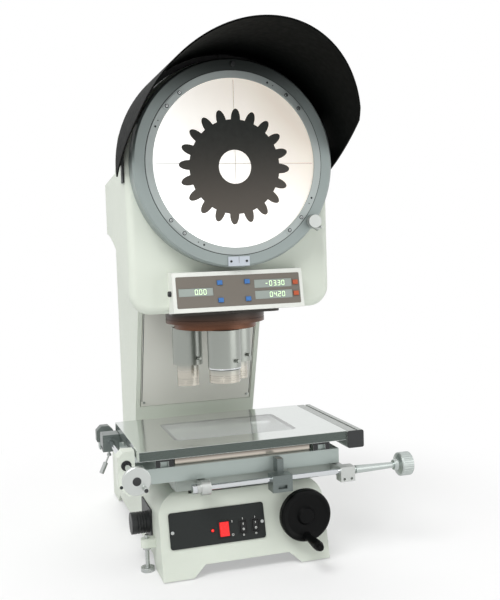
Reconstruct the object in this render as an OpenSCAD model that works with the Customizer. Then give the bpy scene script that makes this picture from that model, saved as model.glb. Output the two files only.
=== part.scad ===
// Optical comparator: bench-top vertical profile projector with a 350 mm screen.
// Origin on the bench under the middle of the base, +X right, +Y to the rear, +Z up, millimetres.

/* [Base] */
// Width of the base casting
base_w = 374; // [350:1:400]
// Depth of the base casting
base_d = 686; // [660:2:710]
// Height of the base casting's top face above the bench
base_h = 181; // [176:1:184]
// Wall of the base casting
base_wall = 9; // [6:1:12]
// Lean of the base's front face, degrees
base_lean = 14; // [8:1:18]
// Radius of the base's long top edges
base_edge_r = 52; // [30:1:60]
// Gap between the cast pads and the bench
pad_gap = 3; // [2:0.5:6]
// Height of the arches between the pads
arch_h = 24; // [15:1:30]
// Length of a pad under the front wall
pad_w = 66; // [50:1:80]
// Diameter of a levelling foot's disc
foot_d = 30; // [24:1:36]
// Diameter of a levelling foot's threaded post
foot_post_d = 9; // [7:0.5:12]

/* [Control panel] */
// Width of the control panel
panel_w = 211; // [190:1:220]
// Height of the control panel along the leaning face
panel_h = 76; // [66:1:84]
// Thickness of the control panel
panel_t = 2.5; // [2:0.5:4]
// Centre of the panel left or right of the middle
panel_x = -61; // [-70:1:-50]
// Height of the panel's lower edge above the bench, along the face
panel_up = 63; // [58:1:72]

/* [Column] */
// Width of the column
col_w = 316; // [300:2:330]
// Wall of the column
col_wall = 9; // [6:1:12]
// Rear face of the column, behind the middle of the base
col_back = 334; // [324:1:340]
// Front edge of the column under the head, from the middle of the base
col_front = -4; // [-12:1:10]
// Lean of the column's front face, degrees
col_lean = 19; // [14:1:21]
// Height of the column's flat top
col_top = 1010; // [990:2:1030]

/* [Head] */
// Height of the screen's centre above the bench
screen_z = 870; // [864:1:890]
// Visible diameter of the screen
screen_d = 350; // [330:2:360]
// Half width of the head, and radius of its round top
head_r = 224; // [220:1:232]
// Underside of the head above the bench
head_bottom = 559; // [552:1:562]
// Depth of the head from front to back
head_d = 295; // [280:1:310]
// Depth of the head's round-topped drum
drum_d = 95; // [85:1:110]
// Wall of the head casting
head_wall = 8; // [6:1:12]
// Radius of the head's lower corners
head_corner_r = 45; // [30:1:60]
// Radius of the round on the head's front edge
head_edge_r = 16; // [8:1:24]

/* [Screen ring] */
// Outer diameter of the fixed ring
ring_od = 433; // [430:1:438]
// How far the fixed ring stands out of the head
ring_h = 46; // [40:1:52]
// Diameter of the joint between the fixed and the turning ring
ring_split_d = 381; // [376:1:386]
// Thickness of the screen glass
glass_t = 6; // [4:0.5:8]
// Running clearance of the turning ring, all round
ring_gap = 0.3; // [0.25:0.05:0.4]
// Diameter of the ring's drive knob
ring_knob_d = 28; // [24:1:32]
// Place of the drive knob below the right-hand horizontal, degrees
ring_knob_a = 36.5; // [32:0.5:42]

/* [Hood] */
// Radius of the hood's outside
hood_r = 238; // [234:1:246]
// Thickness of the hood's sheet
hood_t = 3; // [2:0.5:4]
// How far the hood's top reaches in front of the head
hood_reach = 300; // [260:5:310]
// How far the hood overlaps the head's sides
hood_back = 34; // [24:1:50]

/* [Readout] */
// Width of the readout housing
dro_w = 286; // [276:2:296]
// Height of the readout's face
dro_h = 84; // [80:1:88]
// Lean of the readout's face, degrees
dro_lean = 11; // [8:1:14]
// How far the readout's lower edge stands out of the head
dro_out = 52; // [46:1:60]
// Diameter of a readout key
key_d = 11; // [9:0.5:13]
// Travel of a readout key
key_travel = 1.2; // [0.8:0.1:1.6]

/* [Lens turret] */
// Distance of the optical axis in front of the middle of the base
axis_out = 200; // [196:1:204]
// Radius of the circle on which the lenses stand
turret_r = 70; // [68:1:72]
// Diameter of the turret's disc
turret_d = 230; // [224:1:240]
// Diameter of a lens barrel
barrel_d = 75; // [66:1:78]
// Lower end of the longest barrel above the bench
barrel_low = 372; // [370:1:390]

/* [Stage] */
// Width of the table's top plate
table_w = 460; // [440:2:480]
// Depth of the table's top plate
table_d = 316; // [300:2:330]
// Height of the table's top face above the bench at its lowest
table_z = 286; // [284:1:290]
// Thickness of the table's top plate
table_t = 20; // [16:1:22]
// Width of the stage glass
stage_glass_w = 278; // [260:2:290]
// Depth of the stage glass
stage_glass_d = 178; // [160:2:190]
// Travel of the saddle to each side
x_travel = 75; // [60:5:75]
// Travel of the table to the front and to the rear
y_travel = 50; // [40:5:50]
// Diameter of the polished drive rods
rod_d = 12; // [10:0.5:14]
// Running clearance of a shaft in its bearing, all round
shaft_gap = 0.05; // [0.02:0.01:0.1]
// Clearance of a slideway, each side
slide_gap = 0.3; // [0.2:0.1:0.5]

/* [Lift] */
// Diameter of the lift's handwheel
z_wheel_d = 114; // [104:1:118]
// Height of the lift's shaft above the bench
z_shaft_z = 112; // [108:1:114]
// Place of the lift's shaft right of the middle
z_shaft_x = 126; // [124:1:128]
// Tooth module of the rack and pinion
tooth_m = 2; // [1.8:0.1:2.2]
// Teeth of the pinion
pinion_n = 18; // [16:1:20]

/* [Hidden] */
$fn = 64;

// Colours
cream = "#d7dcd2";
dark = "#2c2f2d";
steel = "#b4bab8";
alloy = "#c9cdca";

// Main places worked out from the sizes above
base_front = -base_d / 2;
base_back = base_d / 2;
axis_y = -axis_out;
head_set = 91;
head_front = axis_y - head_set;
head_back = head_front + head_d;
turret_y = axis_y + turret_r;
ring_r = ring_od / 2;
split_r = ring_split_d / 2;
ring_face = head_front - ring_h;
dro_y = head_front - dro_out;
dro_z = head_bottom + 5;
shaft_r = 8;

// Draws along -Y from a start plane; the flat shape lies in X and Z
module along_y(y_start, len) translate([0, y_start, 0]) rotate([90, 0, 0]) linear_extrude(len)
  children();
// Draws along X, centred; the flat shape lies in Y and Z
module along_x(x_start, len) translate([x_start, 0, 0]) rotate([90, 0, 90]) linear_extrude(len)
  children();
// A round bar along X, Y or Z from a start point
module bar_x(p, r, len) translate(p) rotate([0, 90, 0]) cylinder(r = r, h = len);
module bar_y(p, r, len) translate(p) rotate([-90, 0, 0]) cylinder(r = r, h = len);
module bar_z(p, r, len) translate(p) cylinder(r = r, h = len);
// A block between two corners
module block(a, b) translate(a) cube(b - a);
// A rectangle with round corners, centred
module rrect(w, h, r) {
  square([w - 2 * r, h], center = true);
  square([w, h - 2 * r], center = true);
  for (x = [-1, 1], y = [-1, 1]) translate([x * (w / 2 - r), y * (h / 2 - r)]) circle(r);
}
// Points of an arc for a side profile
function arc(c, r, a0, a1, n = 10) = [for (i = [0:n])
  c + r * [cos(a0 + (a1 - a0) * i / n), sin(a0 + (a1 - a0) * i / n)]];
// A leaning face: X across, Y up the face, Z straight out of it
module face(y, z, lean) translate([0, y, z]) rotate([90 - lean, 0, 0]) children();
module base_face() face(base_front, pad_gap, base_lean) children();
module dro_face() face(dro_y, dro_z, dro_lean) children();
// Turned shapes about the screen's axis; the profile's height runs forward from y
module screen_turned(y) translate([0, y, screen_z]) rotate([90, 0, 0]) rotate_extrude() children();
// A place on the screen ring, given its radius and angle
module ring_at(r, a, y) translate([r * cos(a), y, screen_z + r * sin(a)]) children();

// Base
arch_half = base_w / 2 - pad_w;
arch_ramp = 27;
ear_out = foot_d / 2 + 2;
ear_r = 13;
ear_low = 54;
ear_high = 72;
lamp_set = 9;
lamp_y = axis_y - lamp_set;
ear_ahead = 47;
ear_y = lamp_y - ear_ahead;
rear_ear_x = 130;
window_half = 118;
window_front = axis_y - 100;
window_back = -56;
lamp_z = 93;
lamp_r = 24;
inlet_x = rear_ear_x - 72;
inlet_z = 80;
inlet_w = 48;
inlet_h = 28;
fan_w = 92;
fan_z = 330;
boss_r = 22;
boss_back = base_front + 62;
panel_cut = [panel_w - 14, panel_h - 18];

module arch(half, z)
  polygon([[-half, -1], [half, -1], [half, z], [half - arch_ramp, z + arch_h],
  [-half + arch_ramp, z + arch_h], [-half, z]]);
// Front view of the base, drawn in by a wall
module base_outline(inset) {
  r = base_edge_r - inset;
  half = base_w / 2 - inset;
  top = base_h - inset;
  translate([-half, pad_gap]) square([2 * half, top - r - pad_gap]);
  translate([r - half, pad_gap]) square([2 * (half - r), top - pad_gap]);
  for (s = [-1, 1]) translate([s * (half - r), top - r]) circle(r);
}
// Side view of the base, drawn in by a wall
module base_side(inset) {
  y0 = base_front + inset / cos(base_lean);
  soft = 16;
  rise = base_h - inset - soft - pad_gap;
  back = base_back - inset;
  corner = [y0 + rise * tan(base_lean) + soft / cos(base_lean), base_h - inset - soft];
  polygon(concat([[back, pad_gap], [back, base_h - inset]], arc(corner, soft, 90, 180 - base_lean, 6),
    [[y0, pad_gap]]));
}
module ear(p) {
  difference() {
    union() {
      bar_z([p[0], p[1], ear_low], ear_r, ear_high - ear_low);
      children();
    }
    bar_z([p[0], p[1], 0], foot_post_d / 2 + 0.15, base_h);
  }
}
ear_x = base_w / 2 + ear_out;
rear_ear_y = base_back + ear_out;
foot_places = [[-ear_x, ear_y], [ear_x, ear_y], [-rear_ear_x, rear_ear_y], [rear_ear_x, rear_ear_y]];

module base_casting() color(cream) {
  difference() {
    union() {
      intersection() {
        along_y(base_back, base_d) base_outline(0);
        along_x(-base_w, 2 * base_w) base_side(0);
      }
      bar_y([z_shaft_x, base_front, z_shaft_z], boss_r, boss_back - base_front);
    }
    difference() {
      intersection() {
        along_y(base_back + 1, base_d + 2) base_outline(base_wall);
        along_x(-base_w, 2 * base_w) base_side(base_wall);
      }
      bar_y([z_shaft_x, base_front, z_shaft_z], boss_r, boss_back - base_front);
    }
    along_y(base_back + 1, base_d + 2) arch(arch_half, pad_gap);
    along_x(-base_w, 2 * base_w) arch(base_d / 2 - 84, pad_gap);
    block([-base_w, -base_d, -1], [base_w, base_d, pad_gap]);
    block([-window_half, window_front, base_h - 30], [window_half, window_back, base_h + 1]);
    bar_y([z_shaft_x, base_front - 1, z_shaft_z], shaft_r + shaft_gap, boss_back - base_front + 2);
    base_face() translate([panel_x, panel_up + panel_h / 2, -30]) linear_extrude(40)
      square(panel_cut, center = true);
    bar_x([-base_w / 2 - 1, lamp_y, lamp_z], lamp_r - 5, base_wall + 2);
    block([inlet_x - inlet_w / 2, base_back - 20, inlet_z - inlet_h / 2],
      [inlet_x + inlet_w / 2, base_back + 1, inlet_z + inlet_h / 2]);
    bar_z([0, col_back - 120, base_h - 30], 30, 40);
  }
  for (s = [-1, 1]) ear([s * ear_x, ear_y])
    block([s > 0 ? ear_x - ear_out - 2 : -ear_x, ear_y - ear_r, ear_low],
    [s > 0 ? ear_x : ear_out + 2 - ear_x, ear_y + ear_r, ear_high]);
  for (s = [-1, 1]) ear([s * rear_ear_x, rear_ear_y])
    block([s * rear_ear_x - ear_r, rear_ear_y - ear_out - 2, ear_low],
    [s * rear_ear_x + ear_r, rear_ear_y, ear_high]);
}
cover_t = 2;
cover_z = pad_gap + arch_h + 3;
module base_bottom_cover() color("#8f9491")
  block([base_wall - base_w / 2 + 0.3, base_front + 34, cover_z],
  [base_w / 2 - base_wall - 0.3, base_back - base_wall - 0.3, cover_z + cover_t]);

foot_disc_h = 9;
nut_h = 6;
module levelling_feet() color(alloy) for (p = foot_places) {
  bar_z([p[0], p[1], 0], foot_d / 2, foot_disc_h);
  bar_z([p[0], p[1], foot_disc_h], foot_post_d / 2, ear_high - foot_disc_h + 8);
  translate([p[0], p[1], ear_low - nut_h]) cylinder(r = foot_post_d, h = nut_h, $fn = 6);
}

// Control panel and its switches
rocker_w = 20;
rocker_h = 30;
rocker_x = panel_x + 14;
small_w = 12;
small_h = 22;
small_x = [panel_x + 56, panel_x + 84];
switch_up = -9;
panel_mid = panel_up + panel_h / 2;
rocker_room = 0.9;
switch_wall = 3;
switch_depth = 12;
rocker_pin_r = 1.5;
rocker_pin_z = -4;
pin_seat = 1.5;
module on_panel(x, up = 0) base_face() translate([x, panel_mid + up, panel_t]) children();
switches = [[rocker_x, rocker_w, rocker_h], [small_x[0], small_w, small_h],
  [small_x[1], small_w, small_h]];
// The panel with a box behind it for each switch; the boxes hold the rockers' pins
module control_panel() color(dark) difference() {
  union() {
    base_face() translate([panel_x, panel_mid, 0]) linear_extrude(panel_t) rrect(panel_w, panel_h, 6);
    for (s = switches) on_panel(s[0], switch_up) translate([0, 0, -switch_depth])
      linear_extrude(switch_depth - 1)
      square([s[1] + 2 * (rocker_room + switch_wall), s[2] + 2 * (rocker_room + switch_wall)],
      center = true);
  }
  for (s = switches) on_panel(s[0], switch_up) {
    cube([s[1] + 2 * rocker_room, s[2] + 2 * rocker_room, 40], center = true);
    bar_x([-s[1] / 2 - rocker_room - pin_seat - 0.3, 0, rocker_pin_z], rocker_pin_r + shaft_gap,
      s[1] + 2 * (rocker_room + pin_seat + 0.3));
  }
}
// A rocker on a cross pin: a wedge-topped paddle, tilted as switched on
module rocker(w, h) {
  crown = 3;
  translate([-w / 2, 0, 0]) rotate([90, 0, 90]) linear_extrude(w)
    polygon([[-h / 2 + 2, -9], [h / 2 - 2, -9], [h / 2, 1], [0, crown - 1.2], [-h / 2, crown]]);
  bar_x([-w / 2 - rocker_room - pin_seat, 0, rocker_pin_z], rocker_pin_r,
    w + 2 * (rocker_room + pin_seat));
}
module power_rocker() color("#d8232a") on_panel(rocker_x, switch_up) rocker(rocker_w, rocker_h);
module contour_rocker() color("#1d1f1e") on_panel(small_x[0], switch_up) rocker(small_w, small_h);
module surface_rocker() color("#1d1f1e") on_panel(small_x[1], switch_up) rocker(small_w, small_h);

// Lamp house on the left of the base
lamp_plate = [112, 74];
lamp_plate_t = 3;
lamp_len = 40;
lamp_out = -base_w / 2 - lamp_plate_t;
module lamp_house() color("#1e201f") {
  difference() {
    along_x(lamp_out, lamp_plate_t) translate([lamp_y + 26, lamp_z - 3])
      rrect(lamp_plate[0], lamp_plate[1], 4);
    bar_x([lamp_out - 1, lamp_y, lamp_z], lamp_r - 6, lamp_plate_t + 2);
  }
  difference() {
    union() {
      bar_x([lamp_out - lamp_len, lamp_y, lamp_z], lamp_r, lamp_len);
      bar_x([lamp_out, lamp_y, lamp_z], lamp_r - 5.3, base_wall + lamp_plate_t + 14);
    }
    bar_x([lamp_out - lamp_len + 8, lamp_y, lamp_z], lamp_r - 9, lamp_len + 80);
    for (i = [0:3]) bar_x_groove(lamp_out - lamp_len + 12 + 6 * i);
  }
}
module bar_x_groove(x) difference() {
  bar_x([x, lamp_y, lamp_z], lamp_r + 2, 2.5);
  bar_x([x - 1, lamp_y, lamp_z], lamp_r - 3, 5);
}
bulb_r = 6;
module lamp_bulb() color("#fff3d0") {
  bar_x([lamp_out - lamp_len + 8, lamp_y, lamp_z], 8, 22);
  bar_x([lamp_out - lamp_len + 30, lamp_y, lamp_z], bulb_r, 26);
  translate([lamp_out - lamp_len + 56, lamp_y, lamp_z]) sphere(bulb_r);
}
condenser_r = 26;
condenser_x = -112;
module condenser_lens() color("#cfe6e8") {
  holder_t = 22;
  difference() {
    union() {
      bar_x([condenser_x, lamp_y, lamp_z], condenser_r + 4, holder_t);
      block([condenser_x, lamp_y - 12, cover_z + cover_t],
        [condenser_x + holder_t, lamp_y + 12, lamp_z - condenser_r]);
    }
    bar_x([condenser_x - 1, lamp_y, lamp_z], condenser_r - 4, holder_t + 2);
    bar_x([condenser_x + 4, lamp_y, lamp_z], condenser_r, holder_t - 8);
  }
  bar_x([condenser_x + 4, lamp_y, lamp_z], condenser_r, holder_t - 8);
}
supply_size = [160, 140, 62];
supply_set = 84;
module power_supply() color("#9da3a0")
  translate([supply_size[0] / -1.3, base_back - supply_set - supply_size[1], cover_z + cover_t])
  cube(supply_size);
module mains_inlet() color("#1b1c1c") difference() {
  union() {
    block([inlet_x - inlet_w / 2 + 0.2, base_back - 24, inlet_z - inlet_h / 2 + 0.2],
      [inlet_x + inlet_w / 2 - 0.2, base_back, inlet_z + inlet_h / 2 - 0.2]);
    block([inlet_x - inlet_w / 2 - 5, base_back, inlet_z - inlet_h / 2 - 5],
      [inlet_x + inlet_w / 2 + 5, base_back + 3, inlet_z + inlet_h / 2 + 5]);
  }
  along_y(base_back + 4, 20) translate([inlet_x, inlet_z]) rrect(27, 20, 4);
}

// Column
col_half = col_w / 2;
function col_face(z) = col_front + (head_bottom - z) * tan(col_lean);
mirror_drop = 190;
mirror_run = 150;
module col_side(inset)
  polygon([[col_face(base_h) + inset, base_h], [col_face(head_bottom) + inset, head_bottom],
  [head_back, head_bottom], [head_back, col_top - inset],
  [col_back - mirror_run - inset, col_top - inset], [col_back - inset, col_top - mirror_drop],
  [col_back - inset, base_h]]);
plate_half = col_half - 11;
plate_low = 292;
plate_top = head_bottom - 6;
plate_t = 5;
slot_w = 2;
rear_cover_low = base_h + 60;
rear_cover_high = col_top - mirror_drop - 30;
rear_cover_half = col_half - 40;
col_corner_r = 26;
// Plan of the column with round rear corners, drawn in by a wall
module col_plan(inset) {
  front = -40;
  back = col_back - inset;
  half = col_half - inset;
  r = col_corner_r - inset / 2;
  translate([-half, front]) square([2 * half, back - front - r]);
  translate([r - half, front]) square([2 * (half - r), back - front]);
  for (s = [-1, 1]) translate([s * (half - r), back - r]) circle(r);
}
// Front view of the column and the neck, with round top corners
module col_outline(inset) {
  r = col_corner_r;
  half = col_half - inset;
  top = col_top - inset;
  translate([-half, 0]) square([2 * half, top - r]);
  translate([r - half, 0]) square([2 * (half - r), top]);
  for (s = [-1, 1]) translate([s * (half - r), top - r]) circle(r);
}
module column_casting() color(cream) difference() {
  intersection() {
    along_x(-col_half, col_w) col_side(0);
    linear_extrude(col_top + 1) col_plan(0);
    along_y(col_back + 1, 2 * col_back) col_outline(0);
  }
  intersection() {
    along_x(-col_half, col_w) col_side(col_wall);
    translate([0, 0, base_h + col_wall]) linear_extrude(col_top) col_plan(col_wall);
    along_y(col_back + 1, 2 * col_back) col_outline(col_wall);
  }
  translate([0, col_face(plate_low), plate_low]) rotate([col_lean, 0, 0])
    block([-plate_half, -30, 0], [plate_half, plate_t, (plate_top - plate_low) / cos(col_lean)]);
  translate([0, col_face(plate_low), plate_low]) rotate([col_lean, 0, 0])
    block([40 - plate_half, -30, 30], [plate_half - 40, 60,
    (plate_top - plate_low) / cos(col_lean) - 30]);
  block([20 - col_half, head_back - 1, head_bottom + 30],
    [col_half - 20, head_back + 30, col_top - 40]);
  block([-rear_cover_half + 15, col_back - 30, rear_cover_low + 15],
    [rear_cover_half - 15, col_back + 1, rear_cover_high - 15]);
  bar_z([0, col_back - 120, base_h - 1], 30, 40);
}
module column_front_plate() color("#c9c8bf") translate([0, col_face(plate_low), plate_low])
  rotate([col_lean, 0, 0]) block([slot_w - plate_half, 0, 1],
  [plate_half - slot_w, plate_t, (plate_top - plate_low) / cos(col_lean) - 1]);
module column_rear_cover() color(cream) difference() {
  block([-rear_cover_half, col_back, rear_cover_low], [rear_cover_half, col_back + 3, rear_cover_high]);
  for (i = [0:5]) along_y(col_back + 4, 6) translate([0, rear_cover_high - 60 - 16 * i])
    rrect(140, 6, 2.9);
  bar_y([0, col_back - 1, fan_z], fan_w / 2 - 6, 6);
}
// Fan behind the rear cover
fan_t = 25;
module fan_housing() color("#222423") {
  difference() {
    block([-fan_w / 2, col_back - fan_t, fan_z - fan_w / 2], [fan_w / 2, col_back, fan_z + fan_w / 2]);
    bar_y([0, col_back - fan_t - 1, fan_z], fan_w / 2 - 3, fan_t + 2);
  }
  bar_y([0, col_back - fan_t, fan_z], 18, 3);
  for (a = [0, 90]) translate([0, col_back - fan_t + 1.5, fan_z]) rotate([0, a, 0])
    cube([fan_w - 4, 3, 5], center = true);
  bar_y([0, col_back - fan_t + 3, fan_z], 2, 14);
}
module fan_rotor() color("#2d302f") translate([0, col_back - fan_t + 4, fan_z]) difference() {
  union() {
    bar_y([0, 0, 0], 15, 18);
    for (a = [0:60:300]) rotate([0, a, 0]) translate([26, 9, 0]) rotate([38, 0, 0])
      cube([30, 1.6, 20], center = true);
  }
  bar_y([0, -1, 0], 2 + shaft_gap, 20);
}

// Head
module edge_profile(r_out, depth, r) {
  square([r_out - r, depth]);
  square([r_out, depth - r]);
  translate([r_out - r, depth - r]) circle(r);
}
// The head's round-topped drum in front of the wide wings, with a round front edge
drum_back = head_front + drum_d;
module head_block() {
  low = head_bottom + head_corner_r;
  in = head_r - head_corner_r;
  translate([0, drum_back, screen_z]) rotate([90, 0, 0]) rotate_extrude(angle = 180)
    edge_profile(head_r, drum_d, head_edge_r);
  translate([0, head_back, low]) linear_extrude(screen_z - low) mirror([0, 1]) {
    edge_profile(head_r, head_d, head_edge_r);
    mirror([1, 0]) edge_profile(head_r, head_d, head_edge_r);
  }
  for (s = [0, 1]) mirror([s, 0, 0]) translate([in, head_back, low]) rotate([90, 0, 0])
    rotate([0, 0, 270]) rotate_extrude(angle = 90) edge_profile(head_corner_r, head_d, head_edge_r);
  along_x(-in, 2 * in) translate([head_back, low]) mirror([0, 1]) rotate(90)
    edge_profile(head_corner_r, head_d, head_edge_r);
}
// Side view of the wings: an arch below and a roof that falls to the rear
arch_c = [head_back + 46, head_bottom - 216];
arch_r = 394;
roof_fall = 20;
wing_low = head_bottom + 190;
lens_hole_r = 34;
port_half = col_half - 30;
module wing_side() difference() {
  polygon([[head_front - 1, head_bottom - 1], [head_back, head_bottom - 1],
    [head_back, screen_z - roof_fall], [drum_back, screen_z - 1], [drum_back, screen_z + head_r + 1],
    [head_front - 1, screen_z + head_r + 1]]);
  translate(arch_c) circle(arch_r, $fn = 180);
}
module neck(inset, y0, y1) along_y(y1, y1 - y0) intersection() {
  col_outline(inset);
  translate([-head_r, head_bottom + inset]) square([2 * head_r, col_top]);
}
module head_casting() color(cream) difference() {
  union() {
    intersection() {
      head_block();
      along_x(-head_r - 1, 2 * head_r + 2) wing_side();
    }
    neck(0, drum_back - 1, head_back);
    intersection() {
      head_block();
      block([-col_half, head_front - 1, head_bottom - 1], [col_half, drum_back, wing_low]);
    }
  }
  along_y(drum_back - head_wall, drum_d - 2 * head_wall) intersection() {
    translate([0, screen_z]) circle(head_r - head_wall);
    translate([-head_r, wing_low]) square([2 * head_r, 2 * head_r]);
  }
  block([head_wall - head_r, head_front + 2 * head_wall, wing_low],
    [head_r - head_wall, head_back - head_wall, screen_z - roof_fall - head_wall]);
  neck(head_wall, head_front + 2 * head_wall, head_back - head_wall);
  bar_y([0, head_front - 1, screen_z], screen_d / 2 + 2, head_wall + 2);
  bar_y([0, head_front - 1, screen_z], screen_d / 2 - 20, drum_d);
  bar_z([0, axis_y, head_bottom - 1], lens_hole_r, head_wall + 2);
  block([-port_half, head_back - head_wall - 1, head_bottom + 40],
    [port_half, head_back + 1, col_top - 50]);
}

// Fixed ring with its rear lip, the drive boss and the vernier plate
lip_h = 10;
lip_r = screen_d / 2 + 4;
rim_r = split_r + 7.4;
rim_h = 7;
knob_r = 209;
roller_r = knob_r - rim_r - slide_gap;
drive_boss_r = 15;
drive_shaft_r = 4;
clamp_r = 3;
clamp_h = 30;
module ring_housing() color("#9aa5aa") {
  difference() {
    union() {
      screen_turned(head_front)
        polygon([[lip_r, 0], [ring_r, 0], [ring_r, ring_h - 5], [ring_r - 4, ring_h], [split_r, ring_h],
        [split_r, lip_h + rim_h], [rim_r + 0.3, lip_h + rim_h], [rim_r + 0.3, lip_h], [lip_r, lip_h]]);
      ring_at(knob_r, -ring_knob_a, head_front) rotate([90, 0, 0]) difference() {
        cylinder(r = drive_boss_r, h = ring_h - 4);
        translate([0, 0, -1]) linear_extrude(ring_h) rotate(-ring_knob_a) translate([-knob_r, 0])
          circle(ring_r - 3, $fn = 128);
      }
    }
    ring_at(knob_r, -ring_knob_a, head_front + 1) rotate([90, 0, 0])
      cylinder(r = drive_shaft_r + shaft_gap, h = ring_h + 2);
    ring_at(knob_r, -ring_knob_a, head_front - lip_h + 0.3) rotate([90, 0, 0])
      cylinder(r = roller_r + 0.3, h = rim_h + 0.2);
    ring_at(knob_r, -ring_knob_a, head_front - clamp_h) rotate([0, 90 + ring_knob_a, 0])
      translate([0, 0, drive_shaft_r + 1]) cylinder(r = clamp_r + shaft_gap, h = 30);
  }
  difference() {
    ring_at(split_r + 13, 270, ring_face) rotate([90, 0, 0]) linear_extrude(2)
      square([47, 20], center = true);
    for (x = [-17, 17]) ring_at(split_r + 13, 270, ring_face) translate([x, 0, 0]) rotate([90, 0, 0])
      cylinder(r = 2, h = 3);
  }
}
screen_lip_h = 3;
glass_r = screen_d / 2 + 8;
module screen_ring() color("#a9b2b5") screen_turned(head_front) {
  front = ring_h + 1;
  polygon([[lip_r + 2, lip_h], [rim_r, lip_h], [rim_r, lip_h + rim_h - 0.3],
    [split_r - ring_gap, lip_h + rim_h - 0.3], [split_r - ring_gap, front], [screen_d / 2, front],
    [screen_d / 2, front - screen_lip_h], [glass_r, front - screen_lip_h],
    [glass_r, front - screen_lip_h - glass_t], [lip_r + 2, front - screen_lip_h - glass_t]]);
}
module screen_glass() color("#eef0ee")
  bar_y([0, ring_face - 1 + screen_lip_h, screen_z], glass_r - 0.02, glass_t);
clip_r = (screen_d / 2 + split_r) / 2;
clip_a = 8.5;
clip_screw_a = 6;
module screen_clips() color("#b9bfc0") for (a = [45, 135, 225, 315]) {
  translate([0, ring_face - 1, screen_z]) rotate([90, 0, 0]) rotate([0, 0, a - clip_a])
    rotate_extrude(angle = 2 * clip_a) translate([screen_d / 2 + 1.5, 0])
    square([split_r - screen_d / 2 - 4, 1.2]);
  for (b = [-clip_screw_a, clip_screw_a]) ring_at(clip_r, a + b, ring_face - 2.2) rotate([90, 0, 0])
    cylinder(r = 2.6, h = 2);
}
module ring_knob() color("#c4c9c9") ring_at(knob_r, -ring_knob_a, 0) rotate([90, 0, 0]) {
  knob_len = 14;
  translate([0, 0, -head_front + 2]) cylinder(r = drive_shaft_r, h = ring_h + 6);
  translate([0, 0, lip_h - head_front]) cylinder(r = roller_r, h = rim_h - 0.5);
  difference() {
    translate([0, 0, ring_h - head_front + 4]) cylinder(r = ring_knob_d / 2, h = knob_len);
    for (a = [0:15:345]) rotate([0, 0, a])
      translate([ring_knob_d / 2 + 0.6, 0, ring_h - head_front + 6])
      cylinder(r = 1.4, h = knob_len - 4, $fn = 8);
  }
}
module ring_clamp() color("#202221") ring_at(knob_r, -ring_knob_a, head_front - clamp_h)
  rotate([0, 90 + ring_knob_a, 0]) {
  translate([0, 0, drive_shaft_r + 1.5]) cylinder(r = clamp_r, h = 18);
  translate([0, 0, drive_boss_r + 1]) cylinder(r = 7, h = 10);
  translate([0, 0, drive_boss_r + 6]) rotate([90, 0, 0]) cylinder(r = 2, h = 24);
  translate([0, -24, drive_boss_r + 6]) sphere(3.2);
}

// Hood: a rolled sheet cut by a slanting plane in front and along its lower edges
hood_low = 8;
hood_corner = [head_front - 170, 74];
module hood_side()
  polygon([[head_front + hood_back, -20 + screen_z], [head_front - 30, hood_low + screen_z],
  [hood_corner[0], hood_corner[1] + screen_z], [hood_corner[0] - 24, hood_corner[1] + 22 + screen_z],
  [head_front - hood_reach, hood_r + 1 + screen_z], [head_front + hood_back, hood_r + 1 + screen_z]]);
module hood() color("#17191a") intersection() {
  along_x(-hood_r - 1, 2 * hood_r + 2) hood_side();
  difference() {
    bar_y([0, head_front - hood_reach - 1, screen_z], hood_r, hood_reach + hood_back + 2, $fn = 128);
    bar_y([0, head_front - hood_reach - 2, screen_z], hood_r - hood_t, hood_reach + hood_back + 4,
      $fn = 128);
  }
}
bracket_y = head_front + 22;
closing_a = 24;
closing_gap = 0.3;
// Closes the gap between the drum and the hood behind the brackets
module closing_plate() translate([0, bracket_y, screen_z]) rotate([90, 0, 0]) rotate([0, 0, closing_a])
  rotate_extrude(angle = 180 - 2 * closing_a) translate([head_r + closing_gap, 0])
  square([hood_r - hood_t - head_r - 2 * closing_gap, 3]);
module hood_brackets() color("#2a2c2c") {
  for (s = [0, 1]) mirror([s, 0, 0]) {
    block([head_r, bracket_y - 10, screen_z - 34], [head_r + 4, bracket_y + 10, screen_z + 4]);
    difference() {
      block([head_r, bracket_y - 10, screen_z + 2], [hood_r, bracket_y + 10, screen_z + 34]);
      bar_y([0, bracket_y - 20, screen_z], head_r, 40);
      difference() {
        bar_y([0, bracket_y - 20, screen_z], hood_r + 20, 40);
        bar_y([0, bracket_y - 30, screen_z], hood_r - hood_t, 60);
      }
    }
  }
  closing_plate();
  difference() {
    block([-12, bracket_y - 8, screen_z + head_r - 4], [12, bracket_y + 8, screen_z + hood_r]);
    bar_y([0, bracket_y - 20, screen_z], head_r, 40);
    difference() {
      bar_y([0, bracket_y - 20, screen_z], hood_r + 20, 40);
      bar_y([0, bracket_y - 30, screen_z], hood_r - hood_t, 60);
    }
  }
}

// Readout
dro_panel_w = 272;
dro_panel_h = 66;
dro_panel_t = 2;
dro_low = (dro_h - dro_panel_h) / 2;
key_room = 0.3;
key_foot = 4;
key_proud = 1.3;
key_places = [[-42, 51], [-42, 14], [18, 51], [18, 14], [126, 45], [126, 21]];
windows = [[-94, 33, 74, 17], [76, 45, 84, 18], [76, 21, 84, 18]];
module dro_side()
  polygon([[dro_y, dro_z], [dro_y + dro_h * sin(dro_lean), dro_z + dro_h * cos(dro_lean)],
  [head_front, dro_z + dro_h * cos(dro_lean)], [head_front, dro_z - 5]]);
module dro_housing() color("#e2e5df") difference() {
  along_x(-dro_w / 2, dro_w) dro_side();
  dro_face() translate([0, dro_h / 2, -dro_panel_t]) linear_extrude(10)
    rrect(dro_panel_w, dro_panel_h, 3);
  dro_face() translate([0, dro_h / 2, -24]) linear_extrude(30)
    square([dro_panel_w - 4, dro_panel_h - 6], center = true);
}
module key_flat(w) square([w, w * 0.85], center = true);
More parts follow.
